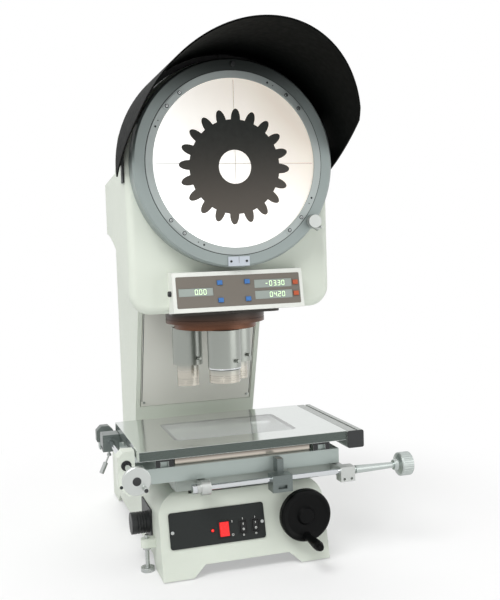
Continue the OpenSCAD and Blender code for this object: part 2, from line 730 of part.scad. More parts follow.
module dro_panel() color("#8b918f") difference() {
  dro_face() translate([0, dro_h / 2, -dro_panel_t]) linear_extrude(dro_panel_t)
    rrect(dro_panel_w - 0.2, dro_panel_h - 0.2, 3);
  for (k = key_places) dro_face() translate([k[0], dro_low + k[1], -dro_panel_t - 1]) linear_extrude(5)
    key_flat(key_d + 2 * key_room);
  for (w = windows) dro_face() translate([w[0], dro_low + w[1], -dro_panel_t - 1]) linear_extrude(5)
    square([w[2], w[3]], center = true);
}
module display_windows() color("#c9d6c0") for (w = windows) dro_face()
  translate([w[0], dro_low + w[1], -dro_panel_t - 1]) linear_extrude(dro_panel_t + 0.4)
  square([w[2] - 0.2, w[3] - 0.2], center = true);
module key(i, tone) color(tone) dro_face()
  translate([key_places[i][0], dro_low + key_places[i][1], -dro_panel_t - key_foot])
  linear_extrude(dro_panel_t + key_foot + key_travel + key_proud) key_flat(key_d);
module key_zero_left() key(0, "#3a6fb0");
module key_set_left() key(1, "#3a6fb0");
module key_unit_left() key(2, "#3a6fb0");
module key_mode_left() key(3, "#3a6fb0");
module key_zero_x() key(4, "#d8772e");
module key_zero_y() key(5, "#d8772e");

// Lens turret
bearing_t = 10;
disc_t = 25;
flange_t = 14;
flange_d = 190;
spindle_r = 12;
disc_top = head_bottom - bearing_t - slide_gap;
flange_low = disc_top - disc_t - flange_t;
barrels = [[270, barrel_d / 2, 85, barrel_d / 2 - 2.5, 34, 26],
  [150, barrel_d / 2 - 2.5, 88, 26, flange_low - 88 - barrel_low, 19],
  [30, barrel_d / 2 - 2.5, 88, 25, flange_low - 96 - barrel_low, 18]];
module turret_at(a) translate([turret_r * cos(a), turret_y + turret_r * sin(a), 0]) children();
module turret_bearing() color(dark) {
  difference() {
    translate([0, turret_y, head_bottom - bearing_t]) linear_extrude(bearing_t) rrect(248, 232, 20);
    bar_z([0, axis_y, 0], lens_hole_r - 4, 2000);
  }
  bar_z([0, turret_y, flange_low - 1], spindle_r, head_bottom - bearing_t - flange_low + 1);
  bar_z([0, turret_y, flange_low - 8], spindle_r + 9, 7.7);
}
module turret_disc() color("#4a4642") difference() {
  union() {
    bar_z([0, turret_y, flange_low + flange_t], turret_d / 2, disc_t);
    bar_z([0, turret_y, flange_low], flange_d / 2, flange_t);
  }
  bar_z([0, turret_y, 0], spindle_r + shaft_gap, 2000);
  for (b = barrels) turret_at(b[0]) bar_z([0, 0, 0], b[5], 2000);
  translate([0, turret_y, flange_low + flange_t + 9]) rotate_extrude()
    translate([turret_d / 2 - 1.5, 0]) square([3, 3]);
}
module lens_barrels() color(alloy) for (b = barrels) turret_at(b[0]) difference() {
  union() {
    bar_z([0, 0, flange_low - b[2]], b[1], b[2]);
    bar_z([0, 0, flange_low - b[2] - b[4]], b[3], b[4] + 1);
    rotate([0, 0, -62]) bar_x([b[1] - 4, 0, flange_low - b[2] + 16], 2, 10);
    rotate([0, 0, -62]) bar_x([b[1] + 3, 0, flange_low - b[2] + 16], 4, 7);
  }
  bar_z([0, 0, 0], b[5], 2000);
  for (i = [0:2]) translate([0, 0, flange_low - b[2] - b[4] + 6 + 5 * i]) rotate_extrude()
    translate([b[3] - 0.6, 0]) square([3, 1.2]);
}
module objective_lenses() color("#bcd8dc") for (b = barrels) turret_at(b[0])
  bar_z([0, 0, flange_low - b[2] - b[4] + 3], b[5] - 0.02, 7);

// Mirrors and their carriers
fold_z = head_bottom + 78;
fold_w = 112;
main_y = 215;
main_z = head_bottom + 105;
main_w = col_w - 58;
main_lean = 10.8;
base_mirror_w = 92;
module mirrors() color("#dfe6e8") {
  translate([0, axis_y, fold_z]) rotate([45, 0, 0]) translate([0, 0, 3])
    cube([fold_w, 118, 6], center = true);
  translate([0, main_y, main_z]) rotate([main_lean, 0, 0]) cube([main_w, 8, 200], center = true);
  translate([0, lamp_y, lamp_z]) rotate([0, -45, 0]) cube([96, base_mirror_w, 5], center = true);
}
module mirror_brackets() color("#55595a") {
  for (s = [0, 1]) mirror([s, 0, 0]) {
    block([fold_w / 2, axis_y - 50, head_bottom + head_wall],
      [fold_w / 2 + 6, axis_y + 50, fold_z + 50]);
    block([main_w / 2, main_y - 20, main_z - 100], [col_half - col_wall, main_y + 20, main_z + 90]);
  }
  for (s = [-1, 1]) translate([0, lamp_y + s * (base_mirror_w / 2 + 2.5), 0])
    block([-40, -2.5, cover_z + cover_t], [40, 2.5, lamp_z + 38]);
}

// Lift: guides in the base, the knee's web with its rack, pinion, shaft and handwheel
knee_low = base_h + 5;
knee_t = 28;
knee_top = knee_low + knee_t;
table_front = axis_y - 154;
knee_front = table_front + 32;
knee_back = -40;
web_half = 100;
web_front = -88;
web_t = 18;
web_low = 40;
t_x = 50;
t_w = 12;
pitch_r = tooth_m * pinion_n / 2;
rack_x = z_shaft_x - pitch_r;
tooth_p = PI * tooth_m;
rack_n = 17;
tip = 0.8;
root = 1.15;
module knee_guides() color(steel) {
  guide_low = cover_z + cover_t;
  difference() {
    block([-92, web_front + web_t + slide_gap, guide_low],
      [92, window_back - 0.3 + 12, base_h - base_wall]);
    block([-30, -100, guide_low + 20], [30, 0, base_h - base_wall - 20]);
  }
  difference() {
    block([90, web_front + web_t + slide_gap, z_shaft_z - 18],
      [z_shaft_x + 18, shaft_back, z_shaft_z + 18]);
    bar_y([z_shaft_x, web_front, z_shaft_z], shaft_r + shaft_gap, 60);
  }
  for (s = [-1, 1]) translate([s * t_x, 0, 0]) {
    block([slide_gap - t_w / 2, web_front - slide_gap - 8, guide_low],
      [t_w / 2 - slide_gap, web_front + web_t + 1, base_h - base_wall - 7]);
    block([-t_w, web_front - slide_gap - 8, guide_low],
      [t_w, web_front - slide_gap, base_h - base_wall - 7]);
  }
}
module rack_tooth(z) translate([rack_x, z])
  polygon([[-root * tooth_m - 1, -0.30 * tooth_p - 0.4], [tip * tooth_m, -0.30 * tooth_p + 1.2],
  [tip * tooth_m, 0.30 * tooth_p - 1.2], [-root * tooth_m - 1, 0.30 * tooth_p + 0.4]]);
rack_start = z_shaft_z - tooth_p * 11.5;
module knee_rack() color("#8d9394") along_y(web_front + web_t - 1, web_t - 2) {
  translate([web_half, rack_start - tooth_p / 2])
    square([rack_x - root * tooth_m - web_half, tooth_p * rack_n]);
  for (i = [0:rack_n - 1]) rack_tooth(rack_start + tooth_p * i);
}
module pinion_tooth()
  polygon([[pitch_r - root * tooth_m - 1, -2.05], [pitch_r, -1.3], [pitch_r + tip * tooth_m, -0.55],
  [pitch_r + tip * tooth_m, 0.55], [pitch_r, 1.3], [pitch_r - root * tooth_m - 1, 2.05]]);
shaft_back = web_front + web_t + 12;
wheel_back = base_front - 3;
wheel_t = 22;
handle_r = 44;
handle_len = 72;
handle_pin_r = 4;
module z_pinion() color("#9ba1a2") {
  along_y(web_front + web_t, web_t) translate([z_shaft_x, z_shaft_z]) difference() {
    union() {
      circle(pitch_r - root * tooth_m);
      for (i = [0:pinion_n - 1]) rotate(360 / pinion_n * (i + pinion_phase)) pinion_tooth();
    }
    circle(shaft_r - 0.5);
  }
  bar_y([z_shaft_x, wheel_back - wheel_t + 4, z_shaft_z], shaft_r,
    shaft_back - wheel_back + wheel_t - 4);
}
pinion_phase = pinion_n % 2 == 0 ? 0 : 0.5;
module z_handwheel() color("#161817") {
  difference() {
    union() {
      translate([z_shaft_x, wheel_back, z_shaft_z]) rotate([90, 0, 0]) rotate_extrude() {
        rim = z_wheel_d / 2;
        polygon(concat([[0, 3], [rim - 12, 3], [rim - 8, 0], [rim - 4, 0]],
          arc([rim - 5, 5], 5, -60, 0, 4), arc([rim - 6, wheel_t - 6], 6, 0, 90, 6),
          [[rim - 14, wheel_t - 3], [20, wheel_t - 6], [16, wheel_t], [0, wheel_t]]));
      }
      bar_y([z_shaft_x, wheel_back - 1, z_shaft_z], 18, 3.9);
    }
    bar_y([z_shaft_x, wheel_back - wheel_t + 4, z_shaft_z], shaft_r, wheel_t);
  }
  bar_y([z_shaft_x, wheel_back - wheel_t - handle_len, z_shaft_z - handle_r], handle_pin_r,
    handle_len + 8);
  bar_y([z_shaft_x, wheel_back - wheel_t - handle_len - 3, z_shaft_z - handle_r], handle_pin_r + 3, 3);
}
module z_handle() color("#202322")
  translate([z_shaft_x, wheel_back - wheel_t - slide_gap, z_shaft_z - handle_r]) rotate([90, 0, 0])
  difference() {
    len = handle_len - 2 * slide_gap;
    rotate_extrude()
      polygon([[0, 0], [9, 0], [8, 12], [10.5, 48], [10.5, len - 8], [8, len], [0, len]]);
    translate([0, 0, -1]) cylinder(r = handle_pin_r + shaft_gap, h = handle_len + 2);
  }

// Knee: plate, web, slideways for the saddle and stop pads
knee_half_l = table_w / 2 - 5 - x_travel;
knee_half_r = table_w / 2 - 10;
way_w = 16;
way_h = 12;
x_ways = [knee_front + 32, knee_back - 50];
pad_r = 9;
pad_x = [10 - knee_half_l, knee_half_r - 80];
module knee_casting() color("#bfc6bf") difference() {
  union() {
    block([-knee_half_l, knee_front, knee_low], [knee_half_r, knee_back, knee_top]);
    block([-web_half, web_front, web_low], [web_half, web_front + web_t, knee_low + 1]);
    for (y = x_ways) block([-knee_half_l + 6, y - way_w / 2, knee_top - 1],
      [knee_half_r - 26, y + way_w / 2, knee_top + way_h]);
    for (x = pad_x, y = [knee_front + 50, knee_back - 10])
      bar_z([x, y, base_h], pad_r, knee_low - base_h + 1);
  }
  block([-web_half - 10, knee_front + 56, knee_low - 1], [web_half + 10, web_front - 12, knee_top + 1]);
  for (s = [-1, 1]) block([s * t_x - t_w / 2, web_front - 1, web_low - 1],
    [s * t_x + t_w / 2, web_front + web_t + 1, base_h - base_wall]);
}

// Saddle: slides in X on the knee and carries the slideways for the table
saddle_half = table_w / 2 - 15;
saddle_front = table_front + 13;
saddle_back = knee_back - 15;
saddle_top = knee_top + 32;
y_way_x = saddle_half - 40;
saddle_open = [270, 168];
y_ways_top = saddle_top + way_h;
y_nut_y = table_front + table_d - 38;
nut_half = 22;
nut_room = 6;
rear_block_t = 24;
rear_block_back = y_nut_y + nut_half + y_travel + nut_room + rear_block_t;
arm_top = saddle_top - 14;
y_rod_x = -table_w / 2 - 20;
y_rod_z = saddle_top + 5;
cheek_half = 18;
cheek = [[y_rod_x - cheek_half, saddle_front + 29, knee_low],
  [y_rod_x + cheek_half, saddle_front + 65, table_z - 6]];
x_rod_y = saddle_front - 30;
x_rod_z = knee_low + 17;
rod_reach = 600;
module saddle_plate() color("#a7b0aa") difference() {
  union() {
    block([-saddle_half, saddle_front, knee_top], [saddle_half, saddle_back, saddle_top]);
    for (s = [-1, 1]) block([s * y_way_x - way_w / 2, saddle_front + 8, saddle_top - 1],
      [s * y_way_x + way_w / 2, saddle_back - 6, y_ways_top]);
    block([-saddle_half, saddle_back - 1, knee_top], [26 - saddle_half, rear_block_back, arm_top]);
    block([y_rod_x - 14, rear_block_back - rear_block_t, knee_top],
      [1 - saddle_half, rear_block_back, arm_top]);
    block([cheek[1][0], cheek[0][1], knee_top], [1 - saddle_half, cheek[1][1], saddle_top]);
  }
  for (y = x_ways) block([-saddle_half - 60, y - way_w / 2 - slide_gap, knee_top - 1],
    [saddle_half + 1, y + way_w / 2 + slide_gap, knee_top + way_h + slide_gap]);
  translate([0, axis_y, knee_top - 1]) linear_extrude(60)
    rrect(saddle_open[0], saddle_open[1], 12);
}
bush_r = 11;
module y_rod_brackets() color("#cfd3cc") difference() {
  union() {
    along_y(cheek[1][1], cheek[1][1] - cheek[0][1]) difference() {
      translate([cheek[0][0], cheek[0][2]])
        square([cheek[1][0] - cheek[0][0], cheek[1][2] - cheek[0][2]]);
      translate([cheek[0][0], cheek[1][2]]) circle(12, $fn = 4);
      translate([cheek[0][0], cheek[0][2]]) circle(20, $fn = 4);
    }
    along_y(rear_block_back, rear_block_t) difference() {
      translate([y_rod_x, y_rod_z]) rrect(40, 38, 3);
      for (s = [-1, 1]) translate([y_rod_x + 20 * s, y_rod_z + 19]) circle(11, $fn = 4);
    }
  }
  bar_y([y_rod_x, -rod_reach, y_rod_z], rod_d / 2 + shaft_gap, 1.5 * rod_reach);
  bar_y([y_rod_x, cheek[0][1] - 1, y_rod_z], bush_r, 13);
}
lever_x = y_rod_x - 4;
lever_z = y_rod_z - 29;
module y_nut_block() color("#9aa3a1") difference() {
  union() {
    block([y_rod_x - 19, y_nut_y - nut_half, y_rod_z - 20],
      [y_rod_x + 19, y_nut_y + nut_half, y_rod_z + 19]);
    block([y_rod_x + 18, y_nut_y - 14, y_rod_z - 2],
      [-table_w / 2 + 12, y_nut_y + 14, table_z - table_t]);
  }
  bar_y([y_rod_x, -rod_reach, y_rod_z], rod_d / 2 + slide_gap, 1.5 * rod_reach);
  block([y_rod_x - 22, y_nut_y - 16, y_rod_z - 15], [y_rod_x - 12, y_nut_y + 16, y_rod_z - 11]);
  bar_z([lever_x, y_nut_y - 8, y_rod_z - 21], 3 + shaft_gap, 12);
}
module y_release_lever() color(steel) translate([lever_x, y_nut_y - 8, 0]) {
  bar_z([0, 0, lever_z], 3, 19);
  bar_z([0, 0, lever_z - 3], 5, 4);
  translate([0, 0, lever_z - 1]) rotate([0, 205, 0]) cylinder(r = 2, h = 22);
  translate([-8.4, 0, lever_z - 19]) rotate([0, 205, 0]) cylinder(r = 5.5, h = 26);
}
module y_rod() color("#c7cccb") {
  wheel_y = saddle_front - 94;
  bar_y([y_rod_x, wheel_y, y_rod_z], rod_d / 2, rear_block_back - wheel_y);
  difference() {
    translate([y_rod_x, wheel_y + 15, y_rod_z]) rotate([90, 0, 0]) rotate_extrude()
      polygon([[0, 0], [12, 0], [12, 6], [27, 6], [28, 7], [28, 16], [27, 17], [0, 17]]);
    bar_y([y_rod_x, wheel_y - 3, y_rod_z], 8, 4);
  }
  bar_y([y_rod_x + 14, wheel_y - 22, y_rod_z - 14], 5, 21);
}
x_nut_x = 68;
bush_left = 34 - knee_half_l;
pillow_left = knee_half_r - 19;
pillow_right = knee_half_r + 14;
taper_x = knee_half_r + 20;
knob_x = knee_half_r + 112;
collar_t = 10;
module x_rod_brackets() color(alloy) difference() {
  union() {
    bar_x([bush_left, x_rod_y, x_rod_z], 10.8, 28);
    bar_x([bush_left + 8, x_rod_y, x_rod_z], 15, 20);
    block([bush_left + 10, x_rod_y, x_rod_z - 8], [bush_left + 26, knee_front, x_rod_z + 8]);
    block([pillow_left, x_rod_y - 13, x_rod_z - 21], [pillow_right, x_rod_y + 13, x_rod_z + 11]);
    block([pillow_left, x_rod_y, x_rod_z - 12], [knee_half_r, knee_front, x_rod_z + 8]);
  }
  bar_x([-rod_reach, x_rod_y, x_rod_z], rod_d / 2 + shaft_gap, 2 * rod_reach);
  for (x = [pillow_left + 8, pillow_right - 8]) bar_y([x, x_rod_y - 14, x_rod_z - 15], 3, 8);
}
module x_nut_block() color("#6d7473") difference() {
  union() {
    block([x_nut_x - 24, x_rod_y - 17, x_rod_z - 25], [x_nut_x + 20, x_rod_y + 15, x_rod_z + 11]);
    block([x_nut_x - 6, x_rod_y + 4, x_rod_z + 10], [x_nut_x + 8, saddle_front, saddle_top - 2]);
  }
  bar_x([-rod_reach, x_rod_y, x_rod_z], rod_d / 2 + slide_gap, 2 * rod_reach);
  block([x_nut_x - 12, x_rod_y - 18, x_rod_z - 18], [x_nut_x + 8, x_rod_y - 9, x_rod_z - 10]);
}
module x_rod() color("#d3d8d8") {
  rod_left = bush_left - 4;
  bar_x([rod_left, x_rod_y, x_rod_z], rod_d / 2, taper_x + 2 - rod_left);
  bar_x([bush_left - collar_t, x_rod_y, x_rod_z], rod_d / 2 + 4, collar_t - slide_gap);
  translate([taper_x, x_rod_y, x_rod_z]) rotate([0, 90, 0])
    cylinder(r1 = 9, r2 = 6.5, h = knob_x - taper_x);
  difference() {
    translate([knob_x, x_rod_y, x_rod_z]) rotate([0, 90, 0]) rotate_extrude()
      polygon([[0, 0], [11, 0], [13, 8], [24, 12], [26, 14], [26, 38], [24, 40], [18, 40], [16, 37],
      [0, 37]]);
    for (a = [0:12:348]) translate([knob_x + 15, x_rod_y, x_rod_z]) rotate([a, 0, 0])
      translate([0, 0, 26.8]) rotate([0, 90, 0]) cylinder(r = 1.5, h = 22, $fn = 8);
  }
}

// Table: top plate with the glass, slide channels under it, and the scale bar
ledge = 8;
stage_glass_t = 8;
module table_plate() color("#aab0ae") difference() {
  union() {
    block([-table_w / 2, table_front, table_z - table_t],
      [table_w / 2, table_front + table_d, table_z]);
    for (s = [-1, 1]) block([s * y_way_x - 19, table_front + 14, saddle_top],
      [s * y_way_x + 19, table_front + table_d - 10, table_z - table_t + 1]);
  }
  for (s = [-1, 1]) block([s * y_way_x - way_w / 2 - slide_gap, table_front - 1, saddle_top - 1],
    [s * y_way_x + way_w / 2 + slide_gap, table_front + table_d + 1, y_ways_top + slide_gap]);
  translate([0, axis_y, table_z - stage_glass_t]) linear_extrude(60)
    rrect(stage_glass_w, stage_glass_d, 14);
  translate([0, axis_y, 0]) linear_extrude(600)
    rrect(stage_glass_w - 2 * ledge, stage_glass_d - 2 * ledge, 10);
}
module stage_glass() color("#d5e6e2") translate([0, axis_y, table_z - stage_glass_t])
  linear_extrude(stage_glass_t) rrect(stage_glass_w - 0.2, stage_glass_d - 0.2, 14);
bar_w = 38;
module scale_bar() color("#b9bfbd") difference() {
  along_y(table_front + table_d - 4, table_d - 2)
    translate([table_w / 2 + bar_w / 2, table_z - bar_w / 2]) difference() {
    rrect(bar_w, bar_w, 3);
    translate([bar_w / 2, 0]) square([6, 5], center = true);
    translate([4, bar_w / 2]) square([5, 4], center = true);
  }
  along_y(table_front + table_d, table_d + 10)
    translate([table_w / 2 + bar_w / 2 + 2, table_z - bar_w / 2 - 2]) square([20, 20], center = true);
}

// Screws: control panel, front plate, rear cover, head and lamp plate
module casing_screws() color("#d9dcda") {
  for (s = [-1, 1]) on_panel(panel_x + s * (panel_w / 2 - 6), -3) cylinder(r = 3.6, h = 1.6);
  for (s = [-1, 1]) translate([s * (plate_half - 10), col_face(plate_low), plate_low])
    rotate([col_lean, 0, 0]) for (u = [12, (plate_top - plate_low) / cos(col_lean) - 12])
    translate([0, 0, u]) rotate([90, 0, 0]) cylinder(r = 3, h = 2);
  for (x = [-1, 1], z = [rear_cover_low + 10, rear_cover_high - 10,
    (rear_cover_low + rear_cover_high) / 2])
    bar_y([x * (rear_cover_half - 8), col_back + 3, z], 4, 2.4);
  for (x = [-17, 17]) ring_at(split_r + 13, 270, ring_face) translate([x, 0, 0]) rotate([90, 0, 0])
    cylinder(r = 1.95, h = 3.4);
}

base_casting();
base_bottom_cover();
control_panel();
column_casting();
column_front_plate();
column_rear_cover();
head_casting();
ring_housing();
hood();
hood_brackets();
dro_housing();
dro_panel();
display_windows();
turret_bearing();
mirrors();
mirror_brackets();
lamp_house();
lamp_bulb();
condenser_lens();
fan_housing();
fan_rotor();
power_supply();
mains_inlet();
knee_guides();
levelling_feet();
casing_screws();
screen_ring();
screen_glass();
screen_clips();
ring_knob();
ring_clamp();
turret_disc();
lens_barrels();
objective_lenses();
z_pinion();
z_handwheel();
z_handle();
knee_casting();
knee_rack();
y_rod_brackets();
saddle_plate();
x_rod_brackets();
y_nut_block();
y_release_lever();
table_plate();
stage_glass();
x_nut_block();
scale_bar();
x_rod();
y_rod();
power_rocker();
contour_rocker();
surface_rocker();
key_zero_left();
key_set_left();
key_unit_left();
key_mode_left();
key_zero_x();
key_zero_y();
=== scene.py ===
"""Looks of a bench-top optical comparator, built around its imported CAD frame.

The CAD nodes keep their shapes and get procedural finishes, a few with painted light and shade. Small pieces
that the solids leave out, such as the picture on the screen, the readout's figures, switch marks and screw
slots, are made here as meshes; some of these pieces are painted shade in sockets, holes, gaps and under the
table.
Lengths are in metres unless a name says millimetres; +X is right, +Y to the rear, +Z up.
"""

import logging
import math
from collections.abc import Callable
from dataclasses import dataclass, field
from enum import Enum

import bpy
from mathutils import Matrix, Vector


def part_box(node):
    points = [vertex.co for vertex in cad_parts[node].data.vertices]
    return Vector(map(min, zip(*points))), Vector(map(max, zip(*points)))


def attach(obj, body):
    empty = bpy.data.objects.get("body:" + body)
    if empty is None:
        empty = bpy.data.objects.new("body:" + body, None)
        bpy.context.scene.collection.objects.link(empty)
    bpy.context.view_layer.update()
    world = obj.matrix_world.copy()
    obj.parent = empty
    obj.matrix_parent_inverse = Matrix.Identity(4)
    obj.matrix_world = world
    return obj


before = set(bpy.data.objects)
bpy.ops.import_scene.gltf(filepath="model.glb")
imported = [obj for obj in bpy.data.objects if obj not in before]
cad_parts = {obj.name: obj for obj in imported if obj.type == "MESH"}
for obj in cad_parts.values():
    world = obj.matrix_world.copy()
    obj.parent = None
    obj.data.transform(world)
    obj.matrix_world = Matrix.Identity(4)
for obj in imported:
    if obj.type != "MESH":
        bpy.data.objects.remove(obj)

LOG = logging.getLogger("comparator")
MM = 0.001
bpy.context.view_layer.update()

Point = tuple[float, float, float]
Colour = tuple[float, float, float]


def mm(x: float, y: float, z: float) -> Point:
    """Turns millimetres into a point in metres."""
    return (x * MM, y * MM, z * MM)


def hex_colour(code: str) -> Colour:
    """Turns an sRGB hex code into linear red, green and blue.

    Args:
        code: Six hex digits, with or without a leading hash sign.

    Returns:
        The linear colour that Blender's sockets take.
    """
    code = code.lstrip("#")
    parts = [int(code[i : i + 2], 16) / 255 for i in (0, 2, 4)]
    return tuple(c / 12.92 if c <= 0.04045 else ((c + 0.055) / 1.055) ** 2.4 for c in parts)


class Grain(Enum):
    """How the marks of making run over a surface: the stretch of the noise along X, Y and Z."""

    CAST = (90.0, 90.0, 90.0)
    ALONG_X = (6.0, 900.0, 900.0)
    ALONG_Y = (900.0, 6.0, 900.0)
    TURNED_Z = (3.0, 3.0, 1200.0)
    FINE = (400.0, 400.0, 400.0)


class Axis(Enum):
    """An axis of the shared frame, as a direction."""

    X = (1.0, 0.0, 0.0)
    Y = (0.0, 1.0, 0.0)
    Z = (0.0, 0.0, 1.0)


class NodeKit:
    """Builds the shader node groups that the finishes share."""

    COLOUR_A, COLOUR_B, COLOUR_RESULT = 6, 7, 2
    VALUE_A, VALUE_B, VALUE_RESULT = 2, 3, 0
    FINE_DETAIL = 5.0
    FINE_SPAN = (0.3, 0.7)
    BROAD_SCALE = 9.0
    BROAD_DETAIL = 4.0
    DUST_SLOPE = (0.55, 0.95)
    DUST_SCALE = 28.0
    DUST_DETAIL = 6.0

    def __init__(self) -> None:
        """Makes each group once."""
        self.grain = self._grain_group()
        self.dust = self._dust_group()
        self.zone = self._zone_group()

    @staticmethod
    def _new(
        name: str, inputs: list[tuple[str, str, object]], outputs: list[tuple[str, str]]
    ) -> bpy.types.NodeTree:
        """Makes an empty group with named sockets.

        Args:
            name: The group's name.
            inputs: Name, socket type and default of each input.
            outputs: Name and socket type of each output.

        Returns:
            The new node group with its input and output nodes.
        """
        tree = bpy.data.node_groups.new(name, "ShaderNodeTree")
        for label, kind, default in inputs:
            tree.interface.new_socket(label, in_out="INPUT", socket_type=kind).default_value = default
        for label, kind in outputs:
            tree.interface.new_socket(label, in_out="OUTPUT", socket_type=kind)
        tree.nodes.new("NodeGroupInput")
        tree.nodes.new("NodeGroupOutput")
        return tree

    def _mix_colour(
        self,
        tree: bpy.types.NodeTree,
        share: bpy.types.NodeSocket,
        first: bpy.types.NodeSocket,
        second: bpy.types.NodeSocket,
    ) -> bpy.types.NodeSocket:
        """Mixes two colours.

        Args:
            tree: The group that grows.
            share: How much of the second colour shows.
            first: The first colour.
            second: The second colour.

        Returns:
            The mixed colour.
        """
        mix = tree.nodes.new("ShaderNodeMix")
        mix.data_type = "RGBA"
        tree.links.new(share, mix.inputs["Factor"])
        tree.links.new(first, mix.inputs[self.COLOUR_A])
        tree.links.new(second, mix.inputs[self.COLOUR_B])
        return mix.outputs[self.COLOUR_RESULT]

    def _grain_group(self) -> bpy.types.NodeTree:
        """Makes the grain effect: mottled colour, changing roughness and a height for a bump.

        Returns:
            The node group.
        """
        tree = self._new(
            "surface_grain",
            [
                ("Color", "NodeSocketColor", (0.5, 0.5, 0.5, 1)),
                ("Tint", "NodeSocketColor", (0.4, 0.4, 0.4, 1)),
                ("Stretch", "NodeSocketVector", (90, 90, 90)),
                ("Mottle", "NodeSocketFloat", 0.1),
                ("Rough Low", "NodeSocketFloat", 0.3),
                ("Rough High", "NodeSocketFloat", 0.5),
            ],
            [("Color", "NodeSocketColor"), ("Roughness", "NodeSocketFloat"), ("Height", "NodeSocketFloat")],
        )
        nodes, link = tree.nodes, tree.links.new
        inside, out = nodes["Group Input"], nodes["Group Output"]
        place = nodes.new("ShaderNodeTexCoord")
        scale = nodes.new("ShaderNodeVectorMath")
        scale.operation = "MULTIPLY"
        link(place.outputs["Object"], scale.inputs[0])
        link(inside.outputs["Stretch"], scale.inputs[1])
        fine = nodes.new("ShaderNodeTexNoise")
        fine.inputs["Scale"].default_value = 1.0
        fine.inputs["Detail"].default_value = self.FINE_DETAIL
        link(scale.outputs[0], fine.inputs["Vector"])
        broad = nodes.new("ShaderNodeTexNoise")
        broad.inputs["Scale"].default_value = self.BROAD_SCALE
        broad.inputs["Detail"].default_value = self.BROAD_DETAIL
        link(place.outputs["Object"], broad.inputs["Vector"])
        blend = nodes.new("ShaderNodeMath")
        blend.operation = "MULTIPLY"
        link(broad.outputs["Fac"], blend.inputs[0])
        link(inside.outputs["Mottle"], blend.inputs[1])
        tint = self._mix_colour(tree, blend.outputs[0], inside.outputs["Color"], inside.outputs["Tint"])
        rough = nodes.new("ShaderNodeMapRange")
        link(fine.outputs["Fac"], rough.inputs["Value"])
        rough.inputs["From Min"].default_value = self.FINE_SPAN[0]
        rough.inputs["From Max"].default_value = self.FINE_SPAN[1]
        link(inside.outputs["Rough Low"], rough.inputs["To Min"])
        link(inside.outputs["Rough High"], rough.inputs["To Max"])
        link(tint, out.inputs["Color"])
        link(rough.outputs[0], out.inputs["Roughness"])
        link(fine.outputs["Fac"], out.inputs["Height"])
        return tree

    def _dust_group(self) -> bpy.types.NodeTree:
        """Makes the dust effect: a thin pale film on faces that look up.

        Returns:
            The node group.
        """
        tree = self._new(
            "settled_dust",
            [
                ("Color", "NodeSocketColor", (0.5, 0.5, 0.5, 1)),
                ("Dust", "NodeSocketColor", (0.62, 0.6, 0.56, 1)),
                ("Amount", "NodeSocketFloat", 0.08),
            ],
            [("Color", "NodeSocketColor")],
        )
        nodes, link = tree.nodes, tree.links.new
        inside, out = nodes["Group Input"], nodes["Group Output"]
        shape = nodes.new("ShaderNodeNewGeometry")
        split = nodes.new("ShaderNodeSeparateXYZ")
        link(shape.outputs["Normal"], split.inputs[0])
        up = nodes.new("ShaderNodeMapRange")
        up.inputs["From Min"].default_value = self.DUST_SLOPE[0]
        up.inputs["From Max"].default_value = self.DUST_SLOPE[1]
        link(split.outputs["Z"], up.inputs["Value"])
        place = nodes.new("ShaderNodeTexCoord")
        patches = nodes.new("ShaderNodeTexNoise")
        patches.inputs["Scale"].default_value = self.DUST_SCALE
        patches.inputs["Detail"].default_value = self.DUST_DETAIL
        link(place.outputs["Object"], patches.inputs["Vector"])
        film = nodes.new("ShaderNodeMath")
        film.operation = "MULTIPLY"
        link(up.outputs[0], film.inputs[0])
        link(patches.outputs["Fac"], film.inputs[1])
        share = nodes.new("ShaderNodeMath")
        share.operation = "MULTIPLY"
        link(film.outputs[0], share.inputs[0])
        link(inside.outputs["Amount"], share.inputs[1])
        dusty = self._mix_colour(tree, share.outputs[0], inside.outputs["Color"], inside.outputs["Dust"])
        link(dusty, out.inputs["Color"])
        return tree

    def _zone_group(self) -> bpy.types.NodeTree:
        """Makes the zone effect: a second colour and roughness that sets in along an axis.

        Returns:
            The node group.
        """
        tree = self._new(
            "end_zone",
            [
                ("Color", "NodeSocketColor", (0.5, 0.5, 0.5, 1)),
                ("Roughness", "NodeSocketFloat", 0.4),
                ("Axis", "NodeSocketVector", (0, 0, 1)),
                ("Start", "NodeSocketFloat", 0.0),
                ("End", "NodeSocketFloat", 1.0),
                ("Zone Color", "NodeSocketColor", (0.4, 0.4, 0.4, 1)),
                ("Zone Roughness", "NodeSocketFloat", 0.4),
            ],
            [("Color", "NodeSocketColor"), ("Roughness", "NodeSocketFloat")],
        )
        nodes, link = tree.nodes, tree.links.new
        inside, out = nodes["Group Input"], nodes["Group Output"]
        place = nodes.new("ShaderNodeTexCoord")
        along = nodes.new("ShaderNodeVectorMath")
        along.operation = "DOT_PRODUCT"
        link(place.outputs["Object"], along.inputs[0])
        link(inside.outputs["Axis"], along.inputs[1])
        share = nodes.new("ShaderNodeMapRange")
        share.interpolation_type = "SMOOTHSTEP"
        link(along.outputs["Value"], share.inputs["Value"])
        link(inside.outputs["Start"], share.inputs["From Min"])
        link(inside.outputs["End"], share.inputs["From Max"])
        first, second = inside.outputs["Color"], inside.outputs["Zone Color"]
        tinted = self._mix_colour(tree, share.outputs[0], first, second)
        dulled = nodes.new("ShaderNodeMix")
        link(share.outputs[0], dulled.inputs["Factor"])
        link(inside.outputs["Roughness"], dulled.inputs[self.VALUE_A])
        link(inside.outputs["Zone Roughness"], dulled.inputs[self.VALUE_B])
        link(tinted, out.inputs["Color"])
        link(dulled.outputs[self.VALUE_RESULT], out.inputs["Roughness"])
        return tree


KIT = NodeKit()


